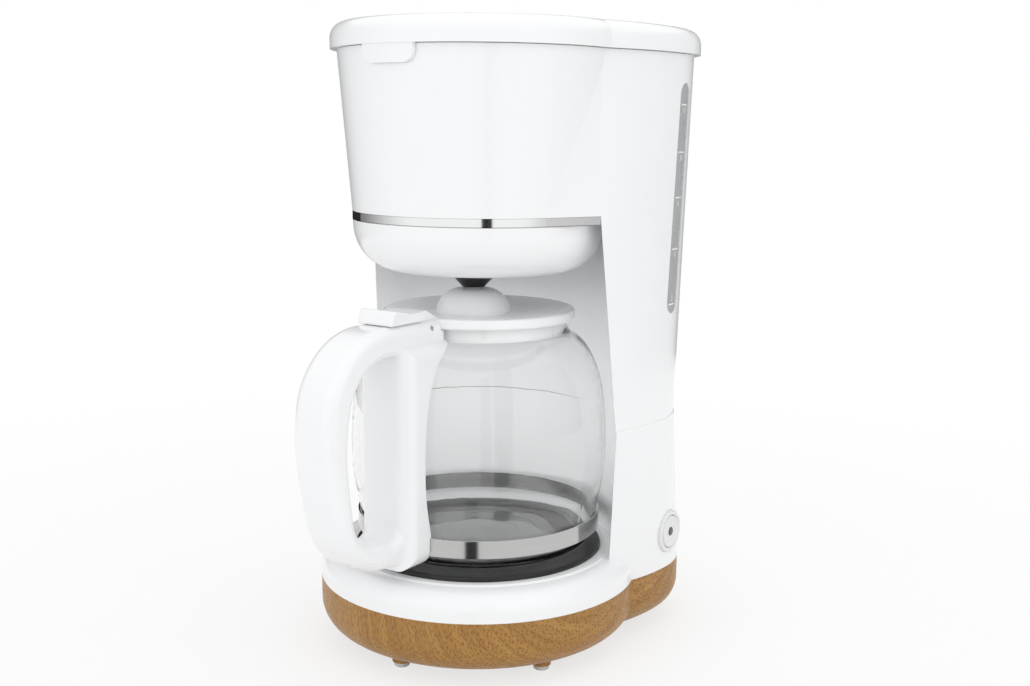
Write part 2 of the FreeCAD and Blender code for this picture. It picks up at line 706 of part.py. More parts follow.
def window_slot(margin, x_low, x_high):
    """Slot with round ends, cut along X and leaning back with the side of the tank."""
    half = WINDOW_WIDTH / 2 + margin
    low = SEAM_Z + WINDOW_LOW + WINDOW_WIDTH / 2
    high = SEAM_Z + WINDOW_HIGH - WINDOW_WIDTH / 2
    slot = block(x_low, x_high, WINDOW_Y - half, WINDOW_Y + half, low, high)
    for z in (low, high):
        slot = slot.fuse(cross_cylinder(half, x_low, x_high, WINDOW_Y, z))
    slot = slot.removeSplitter()
    slot.rotate(at(0, WINDOW_Y, (low + high) / 2), at(1, 0, 0), -WINDOW_LEAN)
    return slot


def fairing_corners(side, radius, edge_x, spread, z):
    """Triangle between a circle, the column's front edge and a place inside the head."""
    touch = at(side * radius * math.cos(spread), -radius * math.sin(spread), z)
    return [touch, at(side * edge_x, LOBE_FRONT_Y, z), at(side * (radius - 2 * WALL), LOBE_FRONT_Y, z)]


def fairing_spread(radius, edge_x):
    """Angle from the column's front edge to where a line from it touches a circle."""
    return math.acos(radius / edge_x)


def head_fairing(side):
    """Fills between the head's cone and the column's front edge, so that one runs into the other."""
    wires = []
    low_edge = side_x(upper_lobe(0, HEAD_Z), LOBE_FRONT_Y)
    spread = fairing_spread(HEAD_LOW_RADIUS, low_edge)
    for z in (HEAD_Z, TOP_Z):
        edge_x = side_x(upper_lobe(0, z), LOBE_FRONT_Y)
        corners = fairing_corners(side, head_radius(z), edge_x, spread, z)
        wires.append(Part.makePolygon(corners + corners[:1]))
    return Part.makeLoft(wires, True, True)


def band_fairing(side, inset):
    """The fairing's foot beside the band, or what lies behind the strip when inset."""
    edge_x = side_x(upper_lobe(0, HEAD_Z), LOBE_FRONT_Y) - inset
    radius = HEAD_LOW_RADIUS - inset
    corners = fairing_corners(side, radius, edge_x, fairing_spread(radius, edge_x), BAND_Z)
    return Part.Face(Part.makePolygon(corners + corners[:1])).extrude(at(0, 0, BAND_HEIGHT))


def make_upper_housing():
    column = upper_block(0, WAIST_Z, TOP_Z, LOBE_FRONT_Y)
    column = column.cut(in_front_of(WAIST_FRONT_Y, WAIST_Z, LOBE_FRONT_Y, HEAD_Z))
    column = column.cut(cylinder(NICHE_RADIUS, WAIST_Z - PAST, HEAD_Z))
    column = column.cut(niche_flare(WAIST_LOBE, WAIST_FRONT_Y, WAIST_Z,
                                    upper_lobe(0, HEAD_Z), LOBE_FRONT_Y, HEAD_Z))
    housing = column.fuse(head_cone(0, HEAD_Z, TOP_Z))
    for side in (-1, 1):
        backing = band_fairing(side, BAND_THICKNESS + PLAY)
        backing = backing.cut(cylinder(HEAD_LOW_RADIUS + PLAY, BAND_Z - PAST, HEAD_Z))
        housing = housing.fuse(head_fairing(side)).fuse(backing)
    partition_z = TOP_Z - PARTITION_DROP
    tank = upper_block(WALL, WAIST_Z + TANK_FLOOR, TOP_Z + PAST, LOBE_FRONT_Y)
    tank = tank.cut(block(-FAR, FAR, -FAR, TANK_FRONT_Y, WAIST_Z, partition_z))
    tank = tank.cut(cylinder(NICHE_RADIUS + WALL, WAIST_Z, HEAD_Z + WALL))
    tank = tank.cut(head_cone(0, HEAD_Z, partition_z))
    housing = housing.cut(tank).cut(head_cone(WALL, HEAD_Z - PAST, TOP_Z + PAST))
    housing = housing.cut(window_slot(0, WAIST_LOBE.half_width - 3 * WALL, FAR))
    outlet = cylinder(RISER_RADIUS, WAIST_Z - HOSE_LAP, WAIST_Z + TANK_FLOOR, PIPE_X, PIPE_Y)
    housing = housing.fuse(outlet)
    housing = housing.cut(cylinder(RISER_BORE, WAIST_Z - HOSE_LAP, WAIST_Z + TANK_FLOOR + PAST,
                                   PIPE_X, PIPE_Y))
    housing = housing.cut(cylinder(RISER_RADIUS + GROMMET_WALL + PLAY, WAIST_Z - PAST,
                                   WAIST_Z + TANK_FLOOR + PAST, -PIPE_X, PIPE_Y))
    for low, high in ear_spans():
        ear = cross_cylinder(KNUCKLE_RADIUS, low, high, HINGE_Y, LID_Z)
        web = side_prism([(TOP_LOBE.rear - WALL, LID_Z - LID_GAP - PLAY, 0),
                          (HINGE_Y, LID_Z - LID_GAP - PLAY, 0),
                          (HINGE_Y + KNUCKLE_RADIUS, LID_Z - LID_GAP - PLAY, 0),
                          (TOP_LOBE.rear - WALL, LID_Z - EAR_DROP, 0)], (high - low) / 2)
        web.translate(at((low + high) / 2, 0, 0))
        inner = upper_block(WALL / 2, TOP_Z - 2 * EAR_DROP, TOP_Z + EAR_DROP, TANK_FRONT_Y)
        housing = housing.fuse(ear).fuse(web.cut(inner))
    pin_hole = cross_cylinder(HINGE_PIN_RADIUS + RUNNING_GAP / 2, -FAR, FAR, HINGE_Y, LID_Z)
    return housing.cut(pin_hole).removeSplitter()


def ear_spans():
    inner = LID_KNUCKLE_LENGTH / 2 + FIT_GAP
    return ((-inner - EAR_LENGTH, -inner), (inner, inner + EAR_LENGTH))


def lid_block(inset, z_low, z_top, rounding):
    """Lid outline, the head's circle with the rear body, under a slightly crowned top."""
    centre_y = (TOP_LOBE.rear - HEAD_TOP_RADIUS) / 2
    crown = Part.makeSphere(LID_CROWN_RADIUS, at(0, centre_y, z_top - LID_CROWN_RADIUS))
    lobe = shrunk(TOP_LOBE, inset - LID_OVERHANG)
    radius = HEAD_TOP_RADIUS + LID_OVERHANG - inset
    front = cylinder(radius, z_low, z_top)
    rear = lobe_block(lobe, lobe, z_low, z_top, LOBE_FRONT_Y)
    rounded = []
    for solid, y_limit in ((front, -FAR), (rear, LOBE_FRONT_Y + PAST)):
        solid = solid.common(crown)
        top_edges = [edge for edge in solid.Edges if edge.BoundBox.ZMin > z_low + rounding
                     and edge.BoundBox.YMax > y_limit]
        rounded.append(solid.makeFillet(rounding, top_edges))
    return rounded[0].fuse(rounded[1])


def lid_prism(inset, z_low, z_high):
    lobe = shrunk(TOP_LOBE, inset)
    return cylinder(HEAD_TOP_RADIUS - inset, z_low, z_high).fuse(
        lobe_block(lobe, lobe, z_low, z_high, LOBE_FRONT_Y))


def make_top_lid():
    skirt_inset = WALL + LID_SKIRT_GAP
    hollow_inset = skirt_inset + LID_SKIRT_WALL
    lid = lid_block(0, LID_Z, LID_TOP_Z, LID_ROUND)
    skirt = lid_prism(skirt_inset, LID_Z - LID_SKIRT_DEPTH, LID_Z + WALL)
    hollow = lid_block(hollow_inset + LID_OVERHANG, LID_Z - LID_SKIRT_DEPTH - PAST, LID_TOP_Z - WALL, WALL)
    lid = lid.fuse(skirt).cut(hollow)
    tab_z = LID_Z - TAB_DROP
    half_tab = TAB_WIDTH / 2
    tab = front_prism([(-half_tab, LID_Z + WALL, 0), (half_tab, LID_Z + WALL, 0),
                       (half_tab, tab_z, TAB_ROUND), (-half_tab, tab_z, TAB_ROUND)], -FAR, 0)
    tab = tab.common(head_cone(-TAB_THICKNESS, tab_z, LID_Z + WALL))
    tab = tab.cut(head_cone(-FIT_GAP, tab_z, LID_Z)).cut(head_cone(WALL, tab_z, LID_Z + WALL))
    lid = lid.fuse(tab)
    for low, high in ear_spans():
        lid = lid.cut(cross_cylinder(KNUCKLE_RADIUS + FIT_GAP, low - FIT_GAP, high + FIT_GAP,
                                     HINGE_Y, LID_Z))
    half = LID_KNUCKLE_LENGTH / 2
    lid = lid.fuse(cross_cylinder(KNUCKLE_RADIUS, -half, half, HINGE_Y, LID_Z))
    lid = lid.cut(cross_cylinder(HINGE_PIN_RADIUS + RUNNING_GAP, -half - PAST, half + PAST, HINGE_Y, LID_Z))
    return lid.removeSplitter()


def make_lid_hinge_pin():
    reach = LID_KNUCKLE_LENGTH / 2 + FIT_GAP + EAR_LENGTH
    return cross_cylinder(HINGE_PIN_RADIUS, -reach, reach, HINGE_Y, LID_Z)


def make_chrome_band():
    band = tube(HEAD_LOW_RADIUS, HEAD_LOW_RADIUS - BAND_THICKNESS, BAND_Z, HEAD_Z)
    for side in (-1, 1):
        band = band.fuse(band_fairing(side, 0).cut(band_fairing(side, BAND_THICKNESS)))
    return band.removeSplitter()


def make_brew_bowl():
    neck = HEAD_LOW_RADIUS - BAND_THICKNESS - PLAY
    shoulder = HEAD_LOW_RADIUS - PLAY
    outside = [(0, BOWL_Z, 0), (BOWL_LOW_RADIUS, BOWL_Z, BOWL_ROUND),
               (shoulder, BAND_Z, 0), (neck, BAND_Z, 0), (neck, HEAD_Z, 0), (0, HEAD_Z, 0)]
    inside = [(0, BOWL_Z + WALL, 0), (BOWL_LOW_RADIUS - WALL, BOWL_Z + WALL, BOWL_ROUND - WALL),
              (neck - WALL, HEAD_Z + PAST, 0), (0, HEAD_Z + PAST, 0)]
    bowl = revolved(outside).cut(revolved(inside))
    return bowl.cut(cylinder(VALVE_RADIUS + FIT_GAP, BOWL_Z - PAST, BOWL_Z + WALL + PAST, 0, -DRIP_FORWARD))


def basket_floor_z():
    return BOWL_Z + WALL + VALVE_TRAVEL + VALVE_ROOM


def basket_radius():
    """Rim inside, as large as the head's wall allows with the filter set forward."""
    rim_z = basket_floor_z() + BASKET_HEIGHT
    return head_radius(rim_z) - WALL - DRIP_FORWARD - BASKET_LIP - BASKET_GAP


def make_filter_basket():
    floor_z = basket_floor_z()
    rim_z = floor_z + BASKET_HEIGHT
    wall_z = floor_z + BASKET_CONE_HEIGHT
    lip_z = rim_z - BASKET_LIP_HEIGHT
    lip = basket_radius() + BASKET_LIP
    outside = revolved([(0, floor_z, 0), (BASKET_FLOOR_RADIUS, floor_z, 0),
                        (BASKET_LOW_RADIUS, wall_z, BASKET_ROUND), (basket_radius(), lip_z, 0),
                        (lip, lip_z, 0), (lip, rim_z, 0), (0, rim_z, 0)], -DRIP_FORWARD)
    inside = revolved([(0, floor_z + BASKET_WALL, 0), (BASKET_FLOOR_RADIUS, floor_z + BASKET_WALL, 0),
                       (BASKET_LOW_RADIUS - BASKET_WALL, wall_z + BASKET_WALL, BASKET_ROUND - BASKET_WALL),
                       (basket_radius() - BASKET_WALL, rim_z + PAST, 0), (0, rim_z + PAST, 0)], -DRIP_FORWARD)
    foot = tube(BASKET_FOOT_RADIUS, BASKET_FOOT_RADIUS - BASKET_WALL, BOWL_Z + WALL, wall_z,
                0, -DRIP_FORWARD)
    basket = outside.fuse(foot).cut(inside)
    spout = cylinder(OUTLET_RADIUS, floor_z - VALVE_TRAVEL, floor_z + PAST, 0, -DRIP_FORWARD)
    basket = basket.fuse(spout)
    return basket.cut(cylinder(OUTLET_BORE, floor_z - FAR, floor_z + BASKET_WALL + PAST,
                               0, -DRIP_FORWARD)).removeSplitter()


def make_mesh_filter():
    rim_z = basket_floor_z() + BASKET_HEIGHT
    tip_z = rim_z - MESH_HEIGHT
    top_radius = basket_radius() - BASKET_WALL - MESH_GAP
    inner_radius = top_radius - MESH_TOP_WALL
    outside = revolved([(0, tip_z, 0), (MESH_TIP_RADIUS, tip_z, MESH_ROUND), (top_radius, rim_z, 0),
                        (basket_radius() + BASKET_LIP, rim_z, 0),
                        (basket_radius() + BASKET_LIP, rim_z + MESH_RIM, MESH_RIM / 3),
                        (0, rim_z + MESH_RIM, 0)], -DRIP_FORWARD)
    inside = revolved([(0, tip_z + MESH_WALL, 0),
                       (MESH_TIP_RADIUS - MESH_WALL, tip_z + MESH_WALL, MESH_ROUND),
                       (inner_radius, rim_z, 0), (inner_radius, rim_z + MESH_RIM + PAST, 0),
                       (0, rim_z + MESH_RIM + PAST, 0)], -DRIP_FORWARD)
    bar = block(-top_radius, top_radius, -DRIP_FORWARD - GRIP_BAR_WIDTH / 2,
                -DRIP_FORWARD + GRIP_BAR_WIDTH / 2, rim_z + MESH_RIM / 2, rim_z + MESH_RIM)
    return outside.cut(inside).fuse(bar).removeSplitter()


def make_water_spreader():
    low = TOP_Z - PARTITION_DROP
    high = low + ARM_HEIGHT
    along = at(-PIPE_X, PIPE_Y + DRIP_FORWARD)
    half = ARM_WIDTH / 2
    arm = block(0, along.Length, -half, half, low, high)
    arm.rotate(at(0, 0, 0), at(0, 0, 1), math.degrees(math.atan2(along.y, along.x)))
    arm.translate(at(0, -DRIP_FORWARD, 0))
    arm = arm.fuse(cylinder(half, low, high, -PIPE_X, PIPE_Y))
    socket = cylinder(RISER_RADIUS + HOSE_WALL, low - HOSE_LAP, low, -PIPE_X, PIPE_Y)
    shower = revolved([(0, low - SHOWER_HEIGHT, 0), (SHOWER_RADIUS - SHOWER_HEIGHT, low - SHOWER_HEIGHT, 0),
                       (SHOWER_RADIUS, low, 0), (SHOWER_RADIUS, low + SHOWER_HEIGHT, 0), (half, high, 0),
                       (0, high, 0)], -DRIP_FORWARD)
    spreader = arm.fuse(socket).fuse(shower)
    spreader = spreader.cut(cylinder(RISER_RADIUS + PLAY, low - HOSE_LAP, low, -PIPE_X, PIPE_Y))
    for index in range(SHOWER_HOLES):
        turn = 2 * math.pi * index / SHOWER_HOLES
        spreader = spreader.cut(cylinder(SHOWER_HOLE_RADIUS, low - SHOWER_HEIGHT - PAST, low,
                                         SHOWER_HOLE_RING * math.cos(turn),
                                         SHOWER_HOLE_RING * math.sin(turn) - DRIP_FORWARD))
    return spreader.removeSplitter()


def heater_z():
    return PLATE_Z - 2 * PLATE_SHEET - PLAY - HEATER_RADIUS


def element_z():
    return heater_z() - HEATER_RADIUS - PLAY - ELEMENT_RADIUS


def pipe_z():
    """Height of the heater's ends and the hoses, under the deck."""
    return DECK_Z - SEAL_HEIGHT - WALL - PLAY - HEATER_RADIUS - PLAY - HOSE_WALL


def u_bend(z):
    return arc(at(-PIPE_X, 0, z), at(0, -PIPE_X, z), at(PIPE_X, 0, z))


def heater_leg(side):
    """One leg from the hose's end, up an easy bend and along under the plate to the U bend."""
    low, high = pipe_z(), heater_z()
    corners = [(at(side * PIPE_X, HEATER_END_Y, low), 0),
               (at(side * PIPE_X, HEATER_BEND_Y + HEATER_BEND_LENGTH, low), HEATER_BEND_RADIUS),
               (at(side * PIPE_X, HEATER_BEND_Y, high), HEATER_BEND_RADIUS),
               (at(side * PIPE_X, 0, high), 0)]
    return corners if side < 0 else corners[::-1]


def make_heater_tube():
    path = rounded_edges(heater_leg(-1), False) + [u_bend(heater_z())]
    path += rounded_edges(heater_leg(1), False)
    return piped(path, HEATER_RADIUS, at(0, -1, 0)).cut(piped(path, HEATER_BORE, at(0, -1, 0)))


def make_heating_element():
    z = element_z()
    path = [line(at(-PIPE_X, ELEMENT_END_Y, z), at(-PIPE_X, 0, z)), u_bend(z),
            line(at(PIPE_X, 0, z), at(PIPE_X, ELEMENT_END_Y, z))]
    return piped(path, ELEMENT_RADIUS, at(0, -1, 0))


def hose(x, top_z):
    """Silicone hose from a heater end, round a bend and up the column."""
    z = pipe_z()
    bore = HEATER_RADIUS + PLAY
    corners = [(at(x, HEATER_END_Y - HOSE_LAP, z), 0), (at(x, PIPE_Y, z), HOSE_BEND),
               (at(x, PIPE_Y, top_z), 0)]
    path = rounded_edges(corners, False)
    return piped(path, bore + HOSE_WALL, at(0, 1, 0)).cut(piped(path, bore, at(0, 1, 0)))


def make_check_valve():
    middle = (heater_z() + WAIST_Z) / 2
    radius = HEATER_RADIUS
    low = middle - CHECK_VALVE_LENGTH / 2
    return tube(radius, radius / 2, low, low + CHECK_VALVE_LENGTH, PIPE_X, PIPE_Y)


def make_riser_tube():
    low = SEAM_Z + RISER_LOW
    return tube(RISER_RADIUS, RISER_BORE, low, TOP_Z - PARTITION_DROP, -PIPE_X, PIPE_Y)


def make_riser_grommet():
    radius = RISER_RADIUS + GROMMET_WALL
    top = WAIST_Z + TANK_FLOOR
    sleeve = cylinder(radius, WAIST_Z, top, -PIPE_X, PIPE_Y)
    flange = cylinder(radius + GROMMET_FLANGE, top, top + GROMMET_FLANGE, -PIPE_X, PIPE_Y)
    hole = cylinder(RISER_RADIUS + PLAY / 2, WAIST_Z, top + GROMMET_FLANGE, -PIPE_X, PIPE_Y)
    return sleeve.fuse(flange).cut(hole).removeSplitter()


def make_warming_plate():
    edge = PLATE_RADIUS - PLATE_SHEET
    under_z = PLATE_Z - 2 * PLATE_SHEET
    plate = revolved([(0, PLATE_Z, 0), (PLATE_RADIUS - PLATE_BEVEL_WIDTH, PLATE_Z, 0),
                      (PLATE_RADIUS, PLATE_Z - PLATE_SHEET, PLATE_SHEET), (PLATE_RADIUS, DECK_Z, 0),
                      (edge, DECK_Z, 0), (edge, under_z, 0), (0, under_z, 0)])
    for radius in PLATE_GROOVES:
        plate = plate.cut(tube(radius + PLATE_GROOVE_WIDTH / 2, radius - PLATE_GROOVE_WIDTH / 2,
                               PLATE_Z - PLATE_GROOVE_DEPTH, PLATE_Z + PAST))
    stud_low = clamp_z() - CLAMP_SHEET - NUT_HEIGHT
    return plate.fuse(cylinder(STUD_RADIUS, stud_low, PLATE_Z - PLATE_SHEET)).removeSplitter()


def clamp_z():
    return element_z() - ELEMENT_RADIUS - PLAY


def make_heater_clamp():
    reach = PIPE_X + HEATER_RADIUS
    half = CLAMP_WIDTH / 2
    bar = block(-reach, reach, -half, half, clamp_z() - CLAMP_SHEET, clamp_z())
    return bar.cut(cylinder(STUD_RADIUS + PLAY, clamp_z() - CLAMP_SHEET, clamp_z()))


def make_clamp_nut():
    top = clamp_z() - CLAMP_SHEET
    sides = [at(NUT_RADIUS * math.cos(math.radians(60 * index)),
                NUT_RADIUS * math.sin(math.radians(60 * index)), top - NUT_HEIGHT)
             for index in range(6)]
    nut = Part.Face(Part.makePolygon(sides + sides[:1])).extrude(at(0, 0, NUT_HEIGHT))
    return nut.cut(cylinder(STUD_RADIUS + PLAY / 2, top - NUT_HEIGHT, top))


def make_thermostat():
    top = clamp_z()
    low = top - THERMOSTAT_HEIGHT
    step_z = top - THERMOSTAT_STEP
    neck = THERMOSTAT_RADIUS - THERMOSTAT_STEP
    body = revolved([(0, low, 0), (THERMOSTAT_RADIUS, low, THERMOSTAT_STEP / 2),
                     (THERMOSTAT_RADIUS, step_z, 0), (neck, step_z, 0), (neck, top, 0), (0, top, 0)])
    return body.translated(at(-PIPE_X, CONTROL_Y))


def make_thermal_fuse():
    start = at(PIPE_X, CONTROL_Y - FUSE_LENGTH / 2, clamp_z() - FUSE_RADIUS)
    return Part.makeCylinder(FUSE_RADIUS, FUSE_LENGTH, start, at(0, 1, 0))


def make_plate_seal():
    return tube(PLATE_RADIUS, PLATE_RADIUS - SEAL_WIDTH, DECK_Z - SEAL_HEIGHT, DECK_Z)


def button_radius():
    return BEZEL_RADIUS - BEZEL_LIP


def cap_back_x():
    return button_side_x() + BEZEL_PROUD + BUTTON_PROUD - BUTTON_DISC


def revolved_across(corners):
    """Solid of revolution about the button's axis; corners are (x, radius, rounding)."""
    z = SEAM_Z + BUTTON_HEIGHT
    points = [(at(x, BUTTON_Y, z + radius), rounding) for x, radius, rounding in corners]
    face = Part.Face(Part.Wire(rounded_edges(points, True)))
    return face.revolve(at(0, BUTTON_Y, z), at(1, 0, 0), 360)


def make_button_bezel():
    seat = button_side_x() - BEZEL_SEAT_DEPTH
    front = button_side_x() + BEZEL_PROUD
    inner = button_radius() + FIT_GAP
    return revolved_across([(seat, inner, 0), (seat, BEZEL_RADIUS, 0), (front, BEZEL_RADIUS, BEZEL_ROUND),
                            (front, inner, BEZEL_ROUND / 2)])


def make_button_cap():
    back = cap_back_x()
    front = back + BUTTON_DISC
    stem_end = button_side_x() - BUTTON_BOSS_DEPTH + BUTTON_TRAVEL + FIT_GAP
    radius = button_radius()
    dish = front - BUTTON_DISH
    cap = revolved_across([(back, 0, 0), (back, radius, 0), (front, radius, BUTTON_ROUND),
                           (dish, radius / 2, 0), (dish, 0, 0)])
    z = SEAM_Z + BUTTON_HEIGHT
    stem = cross_cylinder(STEM_RADIUS, stem_end, back + PAST, BUTTON_Y, z)
    hole = cross_cylinder(LENS_RADIUS + PLAY, dish - LENS_DEPTH, FAR, BUTTON_Y, z)
    return cap.fuse(stem).cut(hole).removeSplitter()


def make_indicator_lens():
    face = cap_back_x() + BUTTON_DISC - BUTTON_DISH
    return revolved_across([(face - LENS_DEPTH, 0, 0), (face - LENS_DEPTH, LENS_RADIUS, 0),
                            (face + LENS_PROUD, LENS_RADIUS, LENS_PROUD), (face + LENS_PROUD, 0, 0)])


def make_switch_body():
    front = button_side_x() - BUTTON_BOSS_DEPTH
    z = SEAM_Z + BUTTON_HEIGHT
    return block(front - SWITCH_DEPTH, front, BUTTON_Y - SWITCH_WIDTH / 2, BUTTON_Y + SWITCH_WIDTH / 2,
                 z - SWITCH_HEIGHT / 2, z + SWITCH_HEIGHT / 2)


def make_button_spring():
    """Coil between the switch body and the back of the cap."""
    low = button_side_x() - BUTTON_BOSS_DEPTH + PLAY
    high = cap_back_x() - PLAY
    spring = coil(STEM_RADIUS + SPRING_CLEARANCE, SPRING_WIRE, 0, high - low, BUTTON_SPRING_TURNS)
    spring.rotate(at(0, 0, 0), at(0, 1, 0), 90)
    return spring.translated(at(low, BUTTON_Y, SEAM_Z + BUTTON_HEIGHT))


def make_water_window():
    low = SEAM_Z + WINDOW_LOW - WINDOW_WIDTH
    high = SEAM_Z + WINDOW_HIGH + WINDOW_WIDTH
    wall = upper_block(WINDOW_RECESS, low, high, TANK_FRONT_Y)
    wall = wall.cut(upper_block(WALL, low, high, TANK_FRONT_Y))
    return wall.common(window_slot(-PLAY, WAIST_LOBE.half_width - 3 * WALL, FAR))


def make_drip_valve():
    tip_z = BOWL_Z - VALVE_DROP
    shoulder_z = BOWL_Z + WALL
    dome = revolved([(0, tip_z, 0), (VALVE_TIP_RADIUS, tip_z, VALVE_TIP_ROUND),
                     (VALVE_RADIUS, BOWL_Z - VALVE_SIDE, VALVE_ROUND),
                     (VALVE_RADIUS, shoulder_z, 0), (0, shoulder_z, 0)], -DRIP_FORWARD)
    seal_z = basket_floor_z() + BASKET_WALL + FIT_GAP
    stem = cylinder(VALVE_STEM_RADIUS, shoulder_z, seal_z + VALVE_SEAL_HEIGHT, 0, -DRIP_FORWARD)
    return dome.fuse(stem).removeSplitter()


def make_valve_seal():
    seal_z = basket_floor_z() + BASKET_WALL + FIT_GAP
    return tube(VALVE_SEAL_RADIUS, VALVE_STEM_RADIUS + PLAY / 2, seal_z, seal_z + VALVE_SEAL_HEIGHT,
                0, -DRIP_FORWARD)


def make_valve_spring():
    """Coil round the basket's spout, between its floor and the valve's shoulder."""
    spring = coil(OUTLET_RADIUS + SPRING_CLEARANCE, SPRING_WIRE, BOWL_Z + WALL + PLAY,
                  basket_floor_z() - PLAY, VALVE_SPRING_TURNS)
    return spring.translated(at(0, -DRIP_FORWARD))


def make_cord_gland():
    z = SEAM_Z + GLAND_HEIGHT
    rear = lower_lobe(0, z - GLAND_RADIUS - GLAND_FLANGE).rear
    face = Part.Face(Part.Wire(rounded_edges([
        (at(GLAND_BORE, rear - 2 * WALL, z), 0), (at(GLAND_RADIUS, rear - 2 * WALL, z), GLAND_ROUND),
        (at(GLAND_RADIUS, rear + PLAY, z), 0), (at(GLAND_RADIUS + GLAND_FLANGE, rear + PLAY, z), 0),
        (at(GLAND_RADIUS + GLAND_FLANGE, rear + GLAND_PROUD, z), GLAND_ROUND),
        (at(GLAND_BORE, rear + GLAND_PROUD, z), 0)], True)))
    return face.revolve(at(0, 0, z), at(0, 1, 0), 360)


def make_terminal_block():
    low = FLOOR_Z + BASE_WALL
    return block(-TERMINAL_LENGTH / 2, TERMINAL_LENGTH / 2, PIPE_Y - TERMINAL_WIDTH / 2,
                 PIPE_Y + TERMINAL_WIDTH / 2, low, low + TERMINAL_HEIGHT)


def screw(x, y, z):
    """Upright screw with its head down and a cross slot in the head."""
    shape = cylinder(SCREW_HEAD_RADIUS, z, z + SCREW_HEAD_HEIGHT, x, y)
    shape = shape.fuse(cylinder(SCREW_RADIUS, z, z + SCREW_LENGTH, x, y))
    long, wide = SCREW_SLOT_LENGTH / 2, SCREW_SLOT_WIDTH / 2
    for across, along in ((long, wide), (wide, long)):
        shape = shape.cut(block(x - across, x + across, y - along, y + along, z - PAST, z + SCREW_SLOT_DEPTH))
    return shape.removeSplitter()


def make_base_screws():
    screws = []
    for x, y in posts():
        screws.append(screw(x, y, FLOOR_Z))
    return Part.makeCompound(screws)


def glass_profile():
    """Radius of the glass outside and height above the seam, from the foot up."""
    return [(GLASS_RADIUS - inset, GLASS_RIM_HEIGHT * share) for inset, share in GLASS_PROFILE]


def glass_form(inset):
    """Carafe outside, or its inside when inset by the wall."""
    foot_z = PLATE_Z + inset
    radii = [(radius - inset, SEAM_Z + height) for radius, height in glass_profile()]
    neck = GLASS_NECK_RADIUS - inset
    neck_z = SEAM_Z + GLASS_RIM_HEIGHT - GLASS_NECK_LENGTH
    rim_z = SEAM_Z + GLASS_RIM_HEIGHT + (PAST if inset > 0 else 0)
    foot = GLASS_FOOT_RADIUS - inset
    points = [at(foot, 0, foot_z)] + [at(radius, 0, z) for radius, z in radii] + [at(neck, 0, neck_z)]
    side = Part.BSplineCurve()
    side.interpolate(points, InitialTangent=at(1, 0, 0), FinalTangent=at(0, 0, 1), Scale=False)
    ring = foot * GLASS_PUNT_SHARE
    edges = [line(at(0, 0, rim_z), at(0, 0, foot_z + GLASS_PUNT)),
             arc(at(0, 0, foot_z + GLASS_PUNT), at(ring / 2, 0, foot_z + GLASS_PUNT * 0.75),
                 at(ring, 0, foot_z)),
             line(at(ring, 0, foot_z), points[0]), side.toShape(),
             line(points[-1], at(neck, 0, rim_z)), line(at(neck, 0, rim_z), at(0, 0, rim_z))]
    return Part.Face(Part.Wire(edges)).revolve(at(0, 0, 0), at(0, 0, 1), 360)


def make_carafe_glass():
    return glass_form(0).cut(glass_form(GLASS_WALL))


def carafe_band_radius():
    """Inside of the steel band, just clear of the glass at the band's upper edge."""
    low, high = glass_profile()[0], glass_profile()[2]
    share = (BAND_LOW + CARAFE_BAND_HEIGHT - low[1]) / (high[1] - low[1])
    return low[0] + (high[0] - low[0]) * share + FIT_GAP


def lug_z():
    return SEAM_Z + BAND_LOW + CARAFE_BAND_HEIGHT / 2


def make_carafe_band():
    inner = carafe_band_radius()
    low = SEAM_Z + BAND_LOW
    ring = tube(inner + CARAFE_BAND_SHEET, inner, low, low + CARAFE_BAND_HEIGHT)
    half = BAND_LUG_WIDTH / 2
    lug = block(-half, half, -inner - BAND_LUG_LENGTH, -inner - CARAFE_BAND_SHEET / 2,
                lug_z(), lug_z() + BAND_LUG_SHEET)
    lug = lug.cut(cylinder(SCREW_RADIUS + PLAY, lug_z(), lug_z() + BAND_LUG_SHEET, 0, screw_y()))
    return ring.fuse(lug).removeSplitter()


def screw_y():
    return -carafe_band_radius() - BAND_LUG_LENGTH + LUG_SCREW_INSET


def handle_shield(gap_back, spine):
    """Box with round corners between the finger gap and the glass, hollow and open to the glass."""
    low = SEAM_Z + HANDLE_FOOT
    high = SEAM_Z + GLASS_RIM_HEIGHT - SHIELD_DROP
    side = SHIELD_HALF
    plan = [(at(side, 0, low), 0), (at(side, -gap_back, low), SHIELD_ROUND),
            (at(-side, -gap_back, low), SHIELD_ROUND), (at(-side, 0, low), 0)]
    shield = Part.Face(Part.Wire(rounded_edges(plan, True))).extrude(at(0, 0, high - low))
    shield = shield.common(front_prism([(-side, low, SHIELD_CORNER), (side, low, SHIELD_CORNER),
                                        (side, high, SHIELD_CORNER), (-side, high, SHIELD_CORNER)], -FAR, 0))
    side -= SHIELD_SHEET
    return shield.cut(block(-side, side, spine, 0, low + SHIELD_CORNER, high - SHIELD_CORNER))


